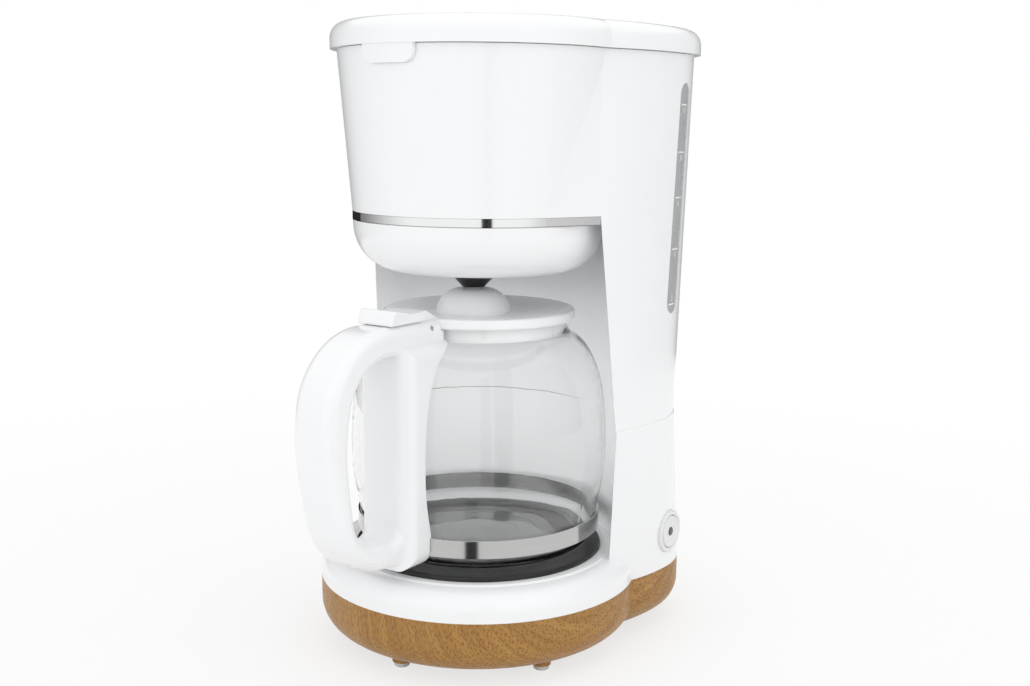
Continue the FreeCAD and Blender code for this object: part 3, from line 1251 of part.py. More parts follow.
def make_carafe_handle():
    top = SEAM_Z + HANDLE_TOP
    foot = SEAM_Z + HANDLE_FOOT
    reach = HANDLE_REACH
    gap_front = reach - HANDLE_THICKNESS
    gap_back = gap_front - FINGER_GAP
    inner = carafe_band_radius() + CARAFE_BAND_SHEET + FIT_GAP
    bow_z = (top + foot) / 2 + HANDLE_BOW_RISE
    foot_top = foot + HANDLE_THICKNESS
    spine = -gap_back + HANDLE_SPINE
    outline = [(-HANDLE_NOSE_Y, top, 0), (-reach + HANDLE_TOP_LEAN, top, HANDLE_TOP_ROUND),
               (-reach, bow_z, HANDLE_BOW_ROUND),
               (-reach + HANDLE_FOOT_LEAN, foot + HANDLE_FOOT_LIFT, HANDLE_FOOT_ROUND),
               (-inner, foot, 0), (-inner, foot_top + HANDLE_FOOT_RISE, 0),
               (spine, foot_top + HANDLE_FOOT_RISE, 0), (spine, top - HANDLE_NECK_DROP, 0),
               (-HANDLE_NOSE_Y, top - HANDLE_NOSE_DROP, 0)]
    gap_top = top - HANDLE_THICKNESS
    hole = [(-gap_front + FINGER_TOP_LEAN, gap_top, FINGER_TOP_ROUND),
            (-gap_front, bow_z, FINGER_BOW_ROUND),
            (-gap_front + FINGER_FOOT_LEAN, foot_top + FINGER_FOOT_LIFT, FINGER_FOOT_ROUND),
            (-gap_back, foot_top, FINGER_HEEL_ROUND),
            (-gap_back, top - FINGER_NECK_DROP, FINGER_NECK_ROUND),
            (-gap_back + FINGER_NOSE_LEAN, gap_top, FINGER_NOSE_ROUND)]
    half = HANDLE_WIDTH / 2
    loop = side_prism(outline, half)
    outer_edges = [edge for edge in loop.Edges if edge.BoundBox.XLength < PLAY
                   and edge.BoundBox.YMin < -gap_back - PAST and edge.BoundBox.YLength > PAST]
    loop = loop.makeFillet(HANDLE_ROUND, outer_edges)
    opening = side_prism(hole, FAR)
    loop = loop.cut(opening)
    gap_edges = [edge for edge in loop.Edges if edge.BoundBox.XLength < PLAY
                 and edge.BoundBox.YMin > -gap_front - PAST and edge.BoundBox.YMax < spine - PAST
                 and foot + FINGER_EDGE_MARGIN < edge.BoundBox.ZMin
                 and edge.BoundBox.ZMax < top - FINGER_EDGE_MARGIN
                 and abs(abs(edge.BoundBox.XMin) - half) < PLAY]
    loop = loop.makeFillet(FINGER_GAP_ROUND, gap_edges)
    handle = loop.fuse(handle_shield(gap_back, spine))
    handle = handle.cut(cylinder(inner, foot - PAST, SEAM_Z + BAND_LOW + CARAFE_BAND_HEIGHT + FIT_GAP))
    handle = handle.cut(glass_form(-HANDLE_GLASS_GAP))
    handle = handle.cut(cylinder(CARAFE_LID_RADIUS + FIT_GAP, SEAM_Z + GLASS_RIM_HEIGHT - FIT_GAP, FAR))
    slot = block(-BAND_LUG_WIDTH / 2 - PLAY, BAND_LUG_WIDTH / 2 + PLAY, -inner - BAND_LUG_LENGTH, 0,
                 lug_z() - PLAY, lug_z() + BAND_LUG_SHEET + PLAY)
    handle = handle.cut(slot)
    handle = handle.cut(cylinder(SCREW_RADIUS + PLAY, foot - PAST, foot + SCREW_LENGTH + PAST, 0, screw_y()))
    handle = handle.cut(cylinder(SCREW_HEAD_RADIUS + PLAY, foot - PAST, foot + SCREW_HEAD_HEIGHT,
                                 0, screw_y()))
    lug_half = LUG_WIDTH / 2 + FIT_GAP
    pin_y, pin_z = carafe_pin_place()
    handle = handle.cut(block(-lug_half, lug_half, pin_y - LUG_LENGTH - PAST, 0,
                              pin_z - LUG_DROP - PAST, FAR))
    handle = handle.cut(cross_cylinder(CARAFE_PIN_RADIUS + PLAY / 2, -FAR, FAR, pin_y, pin_z))
    return handle.removeSplitter()


def carafe_pin_place():
    return -CARAFE_LID_RADIUS - CARAFE_PIN_OUTSET, SEAM_Z + HANDLE_TOP - CARAFE_PIN_DROP


def make_handle_screw():
    return screw(0, screw_y(), SEAM_Z + HANDLE_FOOT)


def make_carafe_lid():
    low = SEAM_Z + GLASS_RIM_HEIGHT
    high = low + CARAFE_LID_RIM
    dome_top = SEAM_Z + DOME_TOP
    plug = GLASS_NECK_RADIUS - GLASS_WALL - FIT_GAP
    dish_z = high - CARAFE_LID_DISH
    ring = revolved([(0, low, 0), (CARAFE_LID_RADIUS, low, CARAFE_LID_ROUND),
                     (CARAFE_LID_RADIUS, high, CARAFE_LID_ROUND),
                     (CARAFE_LID_RADIUS - CARAFE_LID_EDGE, high, CARAFE_LID_ROUND),
                     (DOME_RADIUS + DOME_FILLET, dish_z, 0), (0, dish_z, 0)])
    skirt = tube(plug, plug - CARAFE_LID_SHEET, low - PLUG_DEPTH, low + PAST)
    dome = revolved([(0, low, 0), (DOME_RADIUS, low, 0), (DOME_RADIUS, dome_top, DOME_ROUND),
                     (0, dome_top, 0)], -DRIP_FORWARD)
    hollow = revolved([(0, low - PAST, 0), (DOME_RADIUS - DOME_SHEET, low - PAST, 0),
                       (DOME_RADIUS - DOME_SHEET, dome_top - DOME_SHEET, DOME_ROUND - DOME_SHEET),
                       (0, dome_top - DOME_SHEET, 0)], -DRIP_FORWARD)
    lid = ring.fuse(skirt).fuse(dome).cut(hollow)
    lid = lid.cut(cylinder(DRIP_HOLE_RADIUS, low, dome_top + PAST, 0, -DRIP_FORWARD))
    pin_y, pin_z = carafe_pin_place()
    top = SEAM_Z + HANDLE_TOP
    half = LUG_WIDTH / 2
    lug_root = -CARAFE_LID_RADIUS + CARAFE_LID_EDGE
    lug_end = pin_y - LUG_LENGTH
    lug_low = pin_z - LUG_DROP
    lever_z = top + LEVER_HEIGHT
    lever_end = pin_y - LEVER_LENGTH
    lug = side_prism([(lug_root, low + PAST, 0), (lug_root, high, 0), (pin_y, lever_z, LEVER_ROUND),
                      (lug_end, lever_z, 0), (lug_end, lug_low, LEVER_ROUND),
                      (pin_y + LUG_HEEL, lug_low, 0)], half)
    lever = side_prism([(lug_end + PAST, top + FIT_GAP, 0), (lug_end + PAST, lever_z, 0),
                        ((pin_y + lever_end) / 2, lever_z, LEVER_DIP_ROUND),
                        (lever_end, lever_z + LEVER_TIP_RISE, LEVER_ROUND),
                        (lever_end - LEVER_TIP_LENGTH, top + FIT_GAP, LEVER_ROUND / 2)], LEVER_WIDTH / 2)
    side_edges = [edge for edge in lever.Edges if edge.BoundBox.XLength < PLAY
                  and edge.BoundBox.ZMin > top + 2 * FIT_GAP]
    lever = lever.makeFillet(LEVER_ROUND / 2, side_edges)
    lid = lid.fuse(lug).fuse(lever)
    return lid.cut(cross_cylinder(CARAFE_PIN_RADIUS + PLAY / 2, -FAR, FAR, pin_y, pin_z)).removeSplitter()


def make_carafe_lid_pin():
    pin_y, pin_z = carafe_pin_place()
    half = HANDLE_WIDTH / 2 - PAST
    return cross_cylinder(CARAFE_PIN_RADIUS, -half, half, pin_y, pin_z)


def make_cold_hose():
    return hose(PIPE_X, WAIST_Z)


def make_hot_hose():
    return hose(-PIPE_X, SEAM_Z + RISER_LOW + HOSE_LAP)


MAKERS = (make_wood_base, make_foot_pads, make_lower_housing, make_upper_housing, make_top_lid,
          make_lid_hinge_pin, make_chrome_band, make_brew_bowl, make_filter_basket, make_mesh_filter,
          make_water_spreader, make_heater_tube, make_heating_element, make_cold_hose, make_hot_hose,
          make_check_valve, make_riser_tube, make_riser_grommet, make_warming_plate, make_heater_clamp,
          make_clamp_nut, make_thermostat, make_thermal_fuse, make_plate_seal, make_button_bezel,
          make_button_cap, make_indicator_lens, make_switch_body, make_button_spring,
          make_water_window, make_drip_valve, make_valve_seal, make_valve_spring, make_cord_gland,
          make_terminal_block, make_base_screws, make_carafe_glass, make_carafe_band,
          make_carafe_handle, make_handle_screw, make_carafe_lid, make_carafe_lid_pin)

os.makedirs("parts", exist_ok=True)
shapes = {maker.__name__.removeprefix("make_"): maker() for maker in MAKERS}
front = min(shape.optimalBoundingBox(False).YMin for shape in shapes.values())
rear = max(shape.optimalBoundingBox(False).YMax for shape in shapes.values())
axis_y = -(front + rear) / 2
print("carafe axis at y", round(axis_y, 3), "hinge axis at y, z", round(HINGE_Y + axis_y, 3), round(LID_Z, 3))
for name, shape in shapes.items():
    shape.translate(at(0, axis_y))
    shape.exportStep("parts/" + name + ".step")
    print(name, "valid" if shape.isValid() else "NOT VALID", len(shape.Solids), "solids,",
          round(sum(solid.Volume for solid in shape.Solids) / 1000, 2), "cm3")
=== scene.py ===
# %% [markdown]
# # A drip coffee maker, dressed
# The machine comes from CAD as a set of solids in one frame: a white moulded body with a head over
# a glass carafe, a water tank behind, and a base that wears a wood-look film. The solids carry every
# shape and every size. Here they get their finishes, a few printed details, a camera and a studio.
# The frame is loaded first, and its box is kept and its size printed.

import math

import bpy
import numpy as np
from mathutils import Matrix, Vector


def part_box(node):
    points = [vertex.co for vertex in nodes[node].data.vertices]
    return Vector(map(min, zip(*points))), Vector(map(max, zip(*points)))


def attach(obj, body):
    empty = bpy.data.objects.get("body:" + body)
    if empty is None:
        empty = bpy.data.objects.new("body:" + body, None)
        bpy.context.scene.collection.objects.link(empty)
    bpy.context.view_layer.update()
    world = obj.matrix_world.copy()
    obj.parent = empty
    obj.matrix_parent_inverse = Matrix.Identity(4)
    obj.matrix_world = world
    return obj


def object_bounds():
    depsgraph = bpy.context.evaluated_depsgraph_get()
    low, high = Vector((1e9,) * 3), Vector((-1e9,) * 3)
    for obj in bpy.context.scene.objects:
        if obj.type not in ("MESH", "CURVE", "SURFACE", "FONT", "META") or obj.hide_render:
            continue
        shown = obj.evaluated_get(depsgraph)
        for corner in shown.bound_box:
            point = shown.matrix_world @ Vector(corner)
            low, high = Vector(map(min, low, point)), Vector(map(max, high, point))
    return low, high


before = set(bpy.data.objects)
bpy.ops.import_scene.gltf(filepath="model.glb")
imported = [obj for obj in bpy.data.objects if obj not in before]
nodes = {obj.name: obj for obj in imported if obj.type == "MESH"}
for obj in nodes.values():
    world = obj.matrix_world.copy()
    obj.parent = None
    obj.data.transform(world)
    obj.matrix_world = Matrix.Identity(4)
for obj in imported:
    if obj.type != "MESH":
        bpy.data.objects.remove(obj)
cad_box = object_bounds()
MM = 0.001
cad_sides = np.ptp(np.array(cad_box), axis=0) / MM
print("loaded", len(nodes), "solids, box", cad_sides.round(1), "mm")

# %% [markdown]
# ## The camera
# The photograph was taken from the front and the right, a little above the carafe, from about three
# quarters of a metre. A camera can be aimed with a Track To constraint, but a constraint hides the
# numbers. Here its three axes are worked out from heading, pitch and roll and written as one matrix.

# %% Camera
PHOTO_WIDTH = 1030
FOCAL_PIXELS = 1260
CAMERA_SPOT = (0.4350, -0.5930, 0.3031)
HEADING, PITCH, ROLL = (math.radians(angle) for angle in (34.36, 9.70, -0.5))

level_right = np.array([math.cos(HEADING), math.sin(HEADING), 0])
level_ahead = np.array([-math.sin(HEADING), math.cos(HEADING), 0])
upright = np.array([0, 0, 1])
ahead = math.cos(PITCH) * level_ahead - math.sin(PITCH) * upright
level_up = math.sin(PITCH) * level_ahead + math.cos(PITCH) * upright
right = math.cos(ROLL) * level_right - math.sin(ROLL) * level_up
up = math.sin(ROLL) * level_right + math.cos(ROLL) * level_up


def standing(side, top, back, spot):
    """The matrix of an object with these three axes at a spot."""
    placed = np.eye(4)
    placed[:3, :3] = np.stack([side, top, back], axis=1)
    placed[:3, 3] = spot
    return Matrix(placed.tolist())


lens = bpy.data.cameras.new("photo_lens")
lens.sensor_fit = "HORIZONTAL"
lens.sensor_width = 36
lens.lens = lens.sensor_width * FOCAL_PIXELS / PHOTO_WIDTH
camera = bpy.data.objects.new("photo_camera", lens)
camera.matrix_world = standing(right, up, -ahead, CAMERA_SPOT)
bpy.context.scene.collection.objects.link(camera)
bpy.context.scene.camera = camera
print("camera lens", round(lens.lens, 2), "mm")

# %% [markdown]
# ## Writing shaders as sums
# A finish is a small sum: a base value plus a share of some noise. Linking Math nodes by hand buries
# that sum, so one class wraps a socket and lets ordinary operators add the nodes. Every other node
# comes from one method: its settings first, then what goes into its sockets.

# %% Wires
class Wire:
    """One socket in a material. Arithmetic on wires adds Math nodes."""

    def __init__(self, tree, socket=None):
        self.tree = tree
        self.socket = socket

    def node(self, kind, settings=(), sockets=(), out=0):
        """Adds a node, sets it, feeds its sockets with numbers or wires, and gives one output."""
        made = self.tree.nodes.new(kind)
        for key, value in dict(settings).items():
            setattr(made, key, value)
        for key, value in dict(sockets).items():
            if isinstance(value, Wire):
                self.tree.links.new(value.socket, made.inputs[key])
            else:
                made.inputs[key].default_value = value
        return Wire(self.tree, made.outputs[out])

    def other(self, out):
        """Another output of the node that this wire comes from."""
        return Wire(self.tree, self.socket.node.outputs[out])

    def math(self, operation, *parts):
        return self.node("ShaderNodeMath", {"operation": operation}, enumerate(parts))

    def __add__(self, amount):
        return self.math("ADD", self, amount)

    def __radd__(self, amount):
        return self.math("ADD", amount, self)

    def __sub__(self, amount):
        return self.math("SUBTRACT", self, amount)

    def __rsub__(self, amount):
        return self.math("SUBTRACT", amount, self)

    def __mul__(self, amount):
        return self.math("MULTIPLY", self, amount)

    def __rmul__(self, amount):
        return self.math("MULTIPLY", amount, self)

    def __pow__(self, amount):
        return self.math("POWER", self, amount)


print("wires can add, subtract, multiply and raise to a power")

# %% [markdown]
# ## From a sum to a finish
# A real surface is never one value all over. A noise texture read at the object's own coordinates gives
# the unevenness, and it stays in place when the object moves. A few helpers cover most finishes: noise,
# a colour between two colours, a bent normal, and a colour as a screen shows it. A material then takes
# fixed numbers for what doesn't vary and wires for what does.

# %% Finishes
def place_on(sheet):
    """The point on the object, in metres."""
    return sheet.node("ShaderNodeTexCoord", out="Object")


def grain(place, per_metre, detail=2.0):
    """Soft noise from 0 to 1 with about that many features in a metre."""
    return place.node("ShaderNodeTexNoise", (), {"Vector": place, "Scale": per_metre, "Detail": detail})


def blended(amount, first, second):
    """A colour between two colours."""
    return amount.node("ShaderNodeMix", {"data_type": "RGBA"}, {0: amount, 6: first, 7: second}, 2)


def embossed(height, depth, strength=1.0):
    """A normal bent by a height from 0 to 1 that stands for a depth in metres."""
    return height.node("ShaderNodeBump", (), {"Strength": strength, "Distance": depth, "Height": height})


def paint(red, green, blue):
    """A colour as a screen shows it, 0 to 255, turned into light."""
    screen = np.array([red, green, blue]) / 255
    light = np.where(screen <= 0.04045, screen / 12.92, ((screen + 0.055) / 1.055) ** 2.4)
    return (*light.tolist(), 1.0)


def finish(name, fixed, varied):
    """A material: fixed numbers sit on the shader's own sockets, varied ones come from a function."""
    material = bpy.data.materials.new(name)
    material.use_nodes = True
    tree = material.node_tree
    shader = tree.nodes["Principled BSDF"]
    for socket, value in fixed.items():
        shader.inputs[socket].default_value = value
    for socket, wire in varied(Wire(tree)).items():
        tree.links.new(wire.socket, shader.inputs[socket])
    return material


def wear(material, *names):
    """Puts a material on every slot of some solids."""
    for name in names:
        for slot in nodes[name].material_slots:
            slot.material = material
    print(material.name, "on", ", ".join(names))


print("a middle grey of 128 is", round(paint(128, 128, 128)[0], 3), "as light")

# %% [markdown]
# ## White moulded plastic
# Housing, lid, bowl, handle and carafe lid are one glossy white plastic. A flat white looks like
# plaster, so the gloss wanders a little, as a moulding's does where it cooled last, the white is a trace
# cool and not quite even, and a very fine ripple breaks up long reflections.

# %% White plastic
def white_gloss(sheet):
    place = place_on(sheet)
    cooling = grain(place, 14)
    ripple = grain(place, 420, 1.0)
    return {"Base Color": blended(cooling, paint(242, 243, 244), paint(246, 247, 248)),
            "Roughness": 0.13 + 0.12 * cooling + 0.03 * ripple,
            "Normal": embossed(ripple, 0.00002, 0.35)}


white_plastic = finish("white_gloss_plastic", {"IOR": 1.5}, white_gloss)
wear(white_plastic, "upper_housing", "lower_housing", "top_lid", "brew_bowl", "carafe_handle",
     "carafe_lid")

# %% [markdown]
# ## The button
# The push button and its ring are a satin plastic that looks a little greyer than the gloss around it.
# The white finish could serve, but the button would vanish in it. A finish of its own, rougher and with a
# fine spark grain, keeps its edge readable.

# %% Button
def button_white(sheet):
    place = place_on(sheet)
    cooling = grain(place, 90)
    spark = grain(place, 2600, 1.0)
    return {"Base Color": blended(cooling, paint(226, 227, 227), paint(234, 235, 235)),
            "Roughness": 0.3 + 0.1 * cooling,
            "Normal": embossed(spark, 0.00002, 0.5)}


button_plastic = finish("satin_button_plastic", {"IOR": 1.5}, button_white)
wear(button_plastic, "button_bezel", "button_cap")

# %% [markdown]
# ## Wood-look film on the base
# The base is a plastic moulding with a printed beech film drawn down over it: straight fine grain, soft
# streaks and many short dark pores. An image would be the usual way, but a formula has no seam and no
# edge. The film lies flat under the seam and is stretched down the wall, so the sheet's own
# coordinates are the plan position, drawn in a little towards the bottom. Pores are ellipses in long
# cells, and most of the cells have one.

# %% Wood film
FILM_CENTRE_Y = 0.0057
FILM_TOP_Z = 0.0385
FILM_DRAW = 4.7  # share of the plan position lost for each metre down the wall
GRAIN_ALONG = (-0.27, -0.96)
# Features in a metre, along the grain and across it.
WAVER_RATE = (9.0, 25.0)
STREAK_RATE = (20.0, 420.0)
FIBRE_RATE = (160.0, 2400.0)
PORE_RATE = (480.0, 1350.0)


def rise(wire, low, high):
    """0 below low and 1 above high, with a smooth step between."""
    return wire.node("ShaderNodeMapRange", {"interpolation_type": "SMOOTHSTEP"},
                     {"Value": wire, "From Min": low, "From Max": high})


def axes_of(place):
    """The three parts of a vector."""
    x = place.node("ShaderNodeSeparateXYZ", (), {0: place})
    return x, x.other(1), x.other(2)


def joined(x, y, z=0.0):
    """A vector from three parts; x is a wire."""
    return x.node("ShaderNodeCombineXYZ", (), {0: x, 1: y, 2: z})


def beech_film(sheet):
    x, y, z = axes_of(place_on(sheet))
    draw = 1.0 + FILM_DRAW * (z - FILM_TOP_Z)
    film_x = x * draw
    film_y = (y - FILM_CENTRE_Y) * draw
    along = film_x * GRAIN_ALONG[0] + film_y * GRAIN_ALONG[1]
    across = film_x * -GRAIN_ALONG[1] + film_y * GRAIN_ALONG[0]

    def stretched(rate):
        """The film's coordinates, scaled along the grain and across it."""
        return joined(along * rate[0], across * rate[1])

    across = across + 0.003 * grain(stretched(WAVER_RATE), 1.0)
    streaks = grain(stretched(STREAK_RATE), 1.0, 3.0)
    fibres = grain(stretched(FIBRE_RATE), 1.0, 2.0)
    cells = across.node("ShaderNodeTexVoronoi", {"voronoi_dimensions": "2D", "feature": "F1"},
                        {"Vector": stretched(PORE_RATE), "Scale": 1.0})
    chosen = rise(axes_of(cells.other("Color"))[0], 0.22, 0.36)
    pores = (1 - rise(cells, 0.14, 0.44)) * chosen

    ground = blended(rise(streaks, 0.3, 0.72), paint(160, 116, 57), paint(181, 138, 73))
    ground = blended(0.2 * fibres, ground, paint(136, 94, 48))
    return {"Base Color": blended(0.7 * pores, ground, paint(120, 72, 36)),
            "Roughness": 0.36 + 0.08 * fibres + 0.12 * pores,
            "Normal": embossed(1 - pores - 0.3 * fibres, 0.00004, 0.35)}


wood_film = finish("beech_print_film", {"IOR": 1.42}, beech_film)
wear(wood_film, "wood_base")

# %% [markdown]
# ## The plated strip
# The strip round the head is plated. Plating is a mirror, so what it reflects matters more than its
# colour. Small changes of roughness keep the mirror from looking computed. Along the strip's two edges
# the colour is darkened: painted shade that stands for the dark joint beside them.

# %% Plated strip
STRIP_FOOT_Z = float(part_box("chrome_band")[0][2])
STRIP_HEAD_Z = float(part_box("chrome_band")[1][2])
# Heights of the painted shade at the strip's foot and at its head.
FOOT_SHADE_HEIGHT = 0.0007
HEAD_SHADE_HEIGHT = 0.0005


def plated(sheet):
    place = place_on(sheet)
    x, y, z = axes_of(place)
    haze = grain(place, 60)
    # Painted shade: the colour darkens over a fraction of a millimetre at the strip's foot and at its
    # head.
    painted_foot_shade = 1 - rise(z, STRIP_FOOT_Z, STRIP_FOOT_Z + FOOT_SHADE_HEIGHT)
    painted_head_shade = rise(z, STRIP_HEAD_Z - HEAD_SHADE_HEIGHT, STRIP_HEAD_Z)
    bright = blended(haze, (0.84, 0.85, 0.86, 1), (0.90, 0.90, 0.90, 1))
    return {"Base Color": blended(0.85 * painted_foot_shade + 0.5 * painted_head_shade, bright, (0.12, 0.12, 0.125, 1)),
            "Roughness": 0.05 + 0.07 * haze}


bright_metal = finish("bright_plated_strip", {"Metallic": 1.0}, plated)
wear(bright_metal, "chrome_band")

# %% [markdown]
# ## Stainless steel
# The carafe's band is polished stainless steel, and so are pins, screws, springs, the heater's clamp and
# its element. Steel is darker than plating and keeps faint lines from its rolling. The lines could be a
# bump map; here they are noise that changes fast with height and slowly round the band.

# %% Stainless steel
def polished_steel(sheet):
    x, y, z = axes_of(place_on(sheet))
    lines = grain(joined(x * 20.0, y * 20.0, z * 2600.0), 1.0)
    return {"Base Color": blended(lines, (0.48, 0.48, 0.475, 1), (0.56, 0.56, 0.555, 1)),
            "Roughness": 0.08 + 0.1 * lines,
            "Normal": embossed(lines, 0.000004, 0.3)}


steel = finish("polished_stainless", {"Metallic": 1.0}, polished_steel)
wear(steel, "carafe_band", "carafe_lid_pin", "handle_screw", "base_screws", "lid_hinge_pin",
     "button_spring", "valve_spring", "clamp_nut", "heater_clamp", "heating_element")

# %% [markdown]
# ## Carafe glass
# The carafe is blown glass with a wall of a little over two millimetres. Both sides of the wall are in
# the solid, so light bends as it does in the real jug. A trace of green and a barely uneven gloss are all
# that glass needs. Bent light is slow to gather, so light that only bounces goes straight through.

# %% Glass
def blown_glass(sheet):
    place = place_on(sheet)
    swell = grain(place, 26, 1.0)
    return {"Base Color": blended(swell, (0.975, 0.985, 0.982, 1), (0.99, 0.994, 0.992, 1)),
            "Roughness": 0.012 * swell}


def let_light_through(material):
    """Light that only bounces passes the glass unbent, so that what stands inside is lit."""
    tree = material.node_tree
    path = Wire(tree).node("ShaderNodeLightPath", out="Is Shadow Ray")
    passing = path.math("MAXIMUM", path, path.other("Is Diffuse Ray"))
    bending = Wire(tree, tree.nodes["Principled BSDF"].outputs[0])
    clear = path.node("ShaderNodeBsdfTransparent")
    mixed = path.node("ShaderNodeMixShader", (), {0: passing, 1: bending, 2: clear})
    tree.links.new(mixed.socket, tree.nodes["Material Output"].inputs["Surface"])


glass = finish("clear_blown_glass", {"Transmission Weight": 1.0, "IOR": 1.47}, blown_glass)
let_light_through(glass)
wear(glass, "carafe_glass")

# %% [markdown]
# ## Window plastic
# The water window is a pale grey plastic that lets a little light in. Full transmission would show the
# tank's inside, which the photograph doesn't, so most of it is a plain surface with some haze.

# %% Window plastic
def window_plastic(sheet):
    place = place_on(sheet)
    haze = grain(place, 110)
    return {"Base Color": blended(haze, paint(186, 189, 190), paint(198, 200, 201)),
            "Roughness": 0.22 + 0.12 * haze}


window_grey = finish("grey_window_plastic", {"Transmission Weight": 0.2, "IOR": 1.49}, window_plastic)
wear(window_grey, "water_window")

# %% [markdown]
# ## The warming plate
# The plate has a baked black coating with a faint speckle, spun in rings on its press tool. Rings could
# be modelled, but they are far too shallow to show as shape. The sine of the distance from the carafe's
# axis bends the normal instead, and a little of it goes into the roughness.

# %% Warming plate
CARAFE_AXIS_Y = 0.005711
RING_RATE = 7000.0


def wave(amount):
    """The sine of a wire, from -1 to 1."""
    return amount.math("SINE", amount)


def baked_coating(sheet):
    place = place_on(sheet)
    x, y, z = axes_of(place)
    off_axis = (x ** 2 + (y - CARAFE_AXIS_Y) ** 2) ** 0.5
    rings = wave(off_axis * RING_RATE) * 0.5 + 0.5
    speckle = grain(place, 2400, 1.0)
    rubbed = grain(place, 45, 3.0)
    fleck = rise(speckle, 0.6, 0.75)
    return {"Base Color": blended(fleck, (0.016, 0.016, 0.017, 1), (0.06, 0.06, 0.06, 1)),
            "Roughness": 0.3 + 0.15 * rubbed - 0.06 * rings,
            "Normal": embossed(0.6 * rings + 0.4 * speckle, 0.00002, 0.5)}


plate_coating = finish("baked_black_coating", {"IOR": 1.45}, baked_coating)
wear(plate_coating, "warming_plate")

# %% [markdown]
# ## Black plastic and the lens
# The drip valve, the filter basket and the small electric pieces are gloss black plastic, and the
# button's lens is smoked. Pure black would swallow the shape, so both stay a little above black and get
# most of their character from roughness.

# %% Black plastic
def gloss_black(sheet):
    place = place_on(sheet)
    cooling = grain(place, 120)
    return {"Base Color": blended(cooling, (0.010, 0.010, 0.011, 1), (0.018, 0.018, 0.018, 1)),
            "Roughness": 0.1 + 0.1 * cooling}


def smoked_lens(sheet):
    place = place_on(sheet)
    depth = grain(place, 700)
    return {"Base Color": blended(depth, (0.02, 0.012, 0.012, 1), (0.05, 0.03, 0.03, 1)),
            "Roughness": 0.05 + 0.1 * depth}


black_plastic = finish("gloss_black_plastic", {"IOR": 1.5}, gloss_black)
lens_plastic = finish("smoked_lens_plastic", {"IOR": 1.5, "Coat Weight": 0.5}, smoked_lens)
wear(black_plastic, "drip_valve", "filter_basket", "switch_body", "terminal_block", "thermostat",
     "cord_gland", "check_valve")
wear(lens_plastic, "indicator_lens")

# %% [markdown]
# ## Rubber and silicone
# Foot pads and the grommet are rubber, hoses and seals are silicone. Rubber is matt, never quite even in
# colour, and dust gives it a pale bloom. Silicone is paler and a little waxy, so it gets a trace of
# scattering under its surface.

# %% Soft materials
def foot_rubber(sheet):
    place = place_on(sheet)
    bloom = grain(place, 160, 4.0)
    pits = grain(place, 2200, 1.0)
    return {"Base Color": blended(bloom, paint(206, 205, 202), paint(226, 225, 222)),
            "Roughness": 0.55 + 0.25 * bloom,
            "Normal": embossed(pits, 0.00004, 0.5)}


def pale_silicone(sheet):
    place = place_on(sheet)
    cloud = grain(place, 90, 3.0)
    return {"Base Color": blended(cloud, paint(214, 211, 202), paint(229, 227, 220)),
            "Roughness": 0.38 + 0.2 * cloud,
            "Normal": embossed(grain(place, 900, 1.0), 0.00003, 0.4)}


pad_rubber = finish("grey_foot_rubber", {"IOR": 1.5}, foot_rubber)
silicone = finish("pale_silicone", {"IOR": 1.42, "Subsurface Weight": 0.1, "Subsurface Scale": 0.003},
                  pale_silicone)
wear(pad_rubber, "foot_pads", "riser_grommet")
wear(silicone, "cold_hose", "hot_hose", "plate_seal", "valve_seal")

# %% [markdown]
# ## Metal and plastic inside
# With the lid up one sees the grey spreader that the hot water leaves by. The heater stays hidden, but it
# is a real piece and gets real metal: drawn aluminium, with noise pulled out from front to back.

# %% Inside
def drawn_aluminium(sheet):
    x, y, z = axes_of(place_on(sheet))
    drawn = grain(joined(x * 900.0, y * 40.0, z * 900.0), 1.0)
    return {"Base Color": blended(drawn, (0.66, 0.66, 0.67, 1), (0.76, 0.76, 0.76, 1)),
            "Roughness": 0.3 + 0.15 * drawn,
            "Normal": embossed(drawn, 0.00001, 0.4)}


def satin_grey(sheet):
    place = place_on(sheet)
    cloud = grain(place, 40)
    spark = grain(place, 3000, 1.0)
    return {"Base Color": blended(cloud, paint(186, 187, 186), paint(200, 201, 200)),
            "Roughness": 0.36 + 0.14 * cloud,
            "Normal": embossed(spark, 0.00003, 0.5)}


aluminium = finish("drawn_aluminium", {"Metallic": 1.0}, drawn_aluminium)
grey_plastic = finish("satin_grey_plastic", {"IOR": 1.49}, satin_grey)
wear(aluminium, "heater_tube", "thermal_fuse")
wear(grey_plastic, "water_spreader", "riser_tube")

# %% [markdown]
# ## The net in the filter basket
# The filter is a nylon net in a moulded frame. Modelled threads would need far too many faces, so two
# crossed sines stand for them, one round the net and one up its wall. Above a certain height the piece
# is frame, and a step in height turns the threads off there.

# %% Net
FRAME_FOOT_Z = float(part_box("mesh_filter")[1][2]) - 0.0032
FRAME_EDGE = 0.0002
THREADS_ROUND = 160.0
THREADS_UP = 9000.0


def nylon_net(sheet):
    place = place_on(sheet)
    x, y, z = axes_of(place)
    turn = x.math("ARCTAN2", y, x)
    moulded = rise(z, FRAME_FOOT_Z, FRAME_FOOT_Z + FRAME_EDGE)
    crossed = wave(turn * THREADS_ROUND) * wave(z * THREADS_UP)
    threads = (crossed * 0.5 + 0.5) * (1 - moulded)
    woven = blended(threads, paint(118, 92, 62), paint(190, 164, 124))
    cloud = grain(place, 70)
    plain = blended(cloud, paint(122, 98, 70), paint(134, 110, 80))
    return {"Base Color": blended(moulded, woven, plain),
            "Roughness": 0.36 + 0.2 * threads + 0.1 * cloud,
            "Normal": embossed(threads, 0.0002, 0.8)}


net = finish("nylon_net", {"IOR": 1.53}, nylon_net)
wear(net, "mesh_filter")

# %% [markdown]
# ## The window as a formula
# Print on the window has to follow the side of the tank: a slow bow in front, a tighter corner behind,
# both leaning out upwards. A shrinkwrap modifier could press marks onto it, but one formula that gives
# the window's X for any Y and Z does the same and can be read. Every mark is laid on that formula.

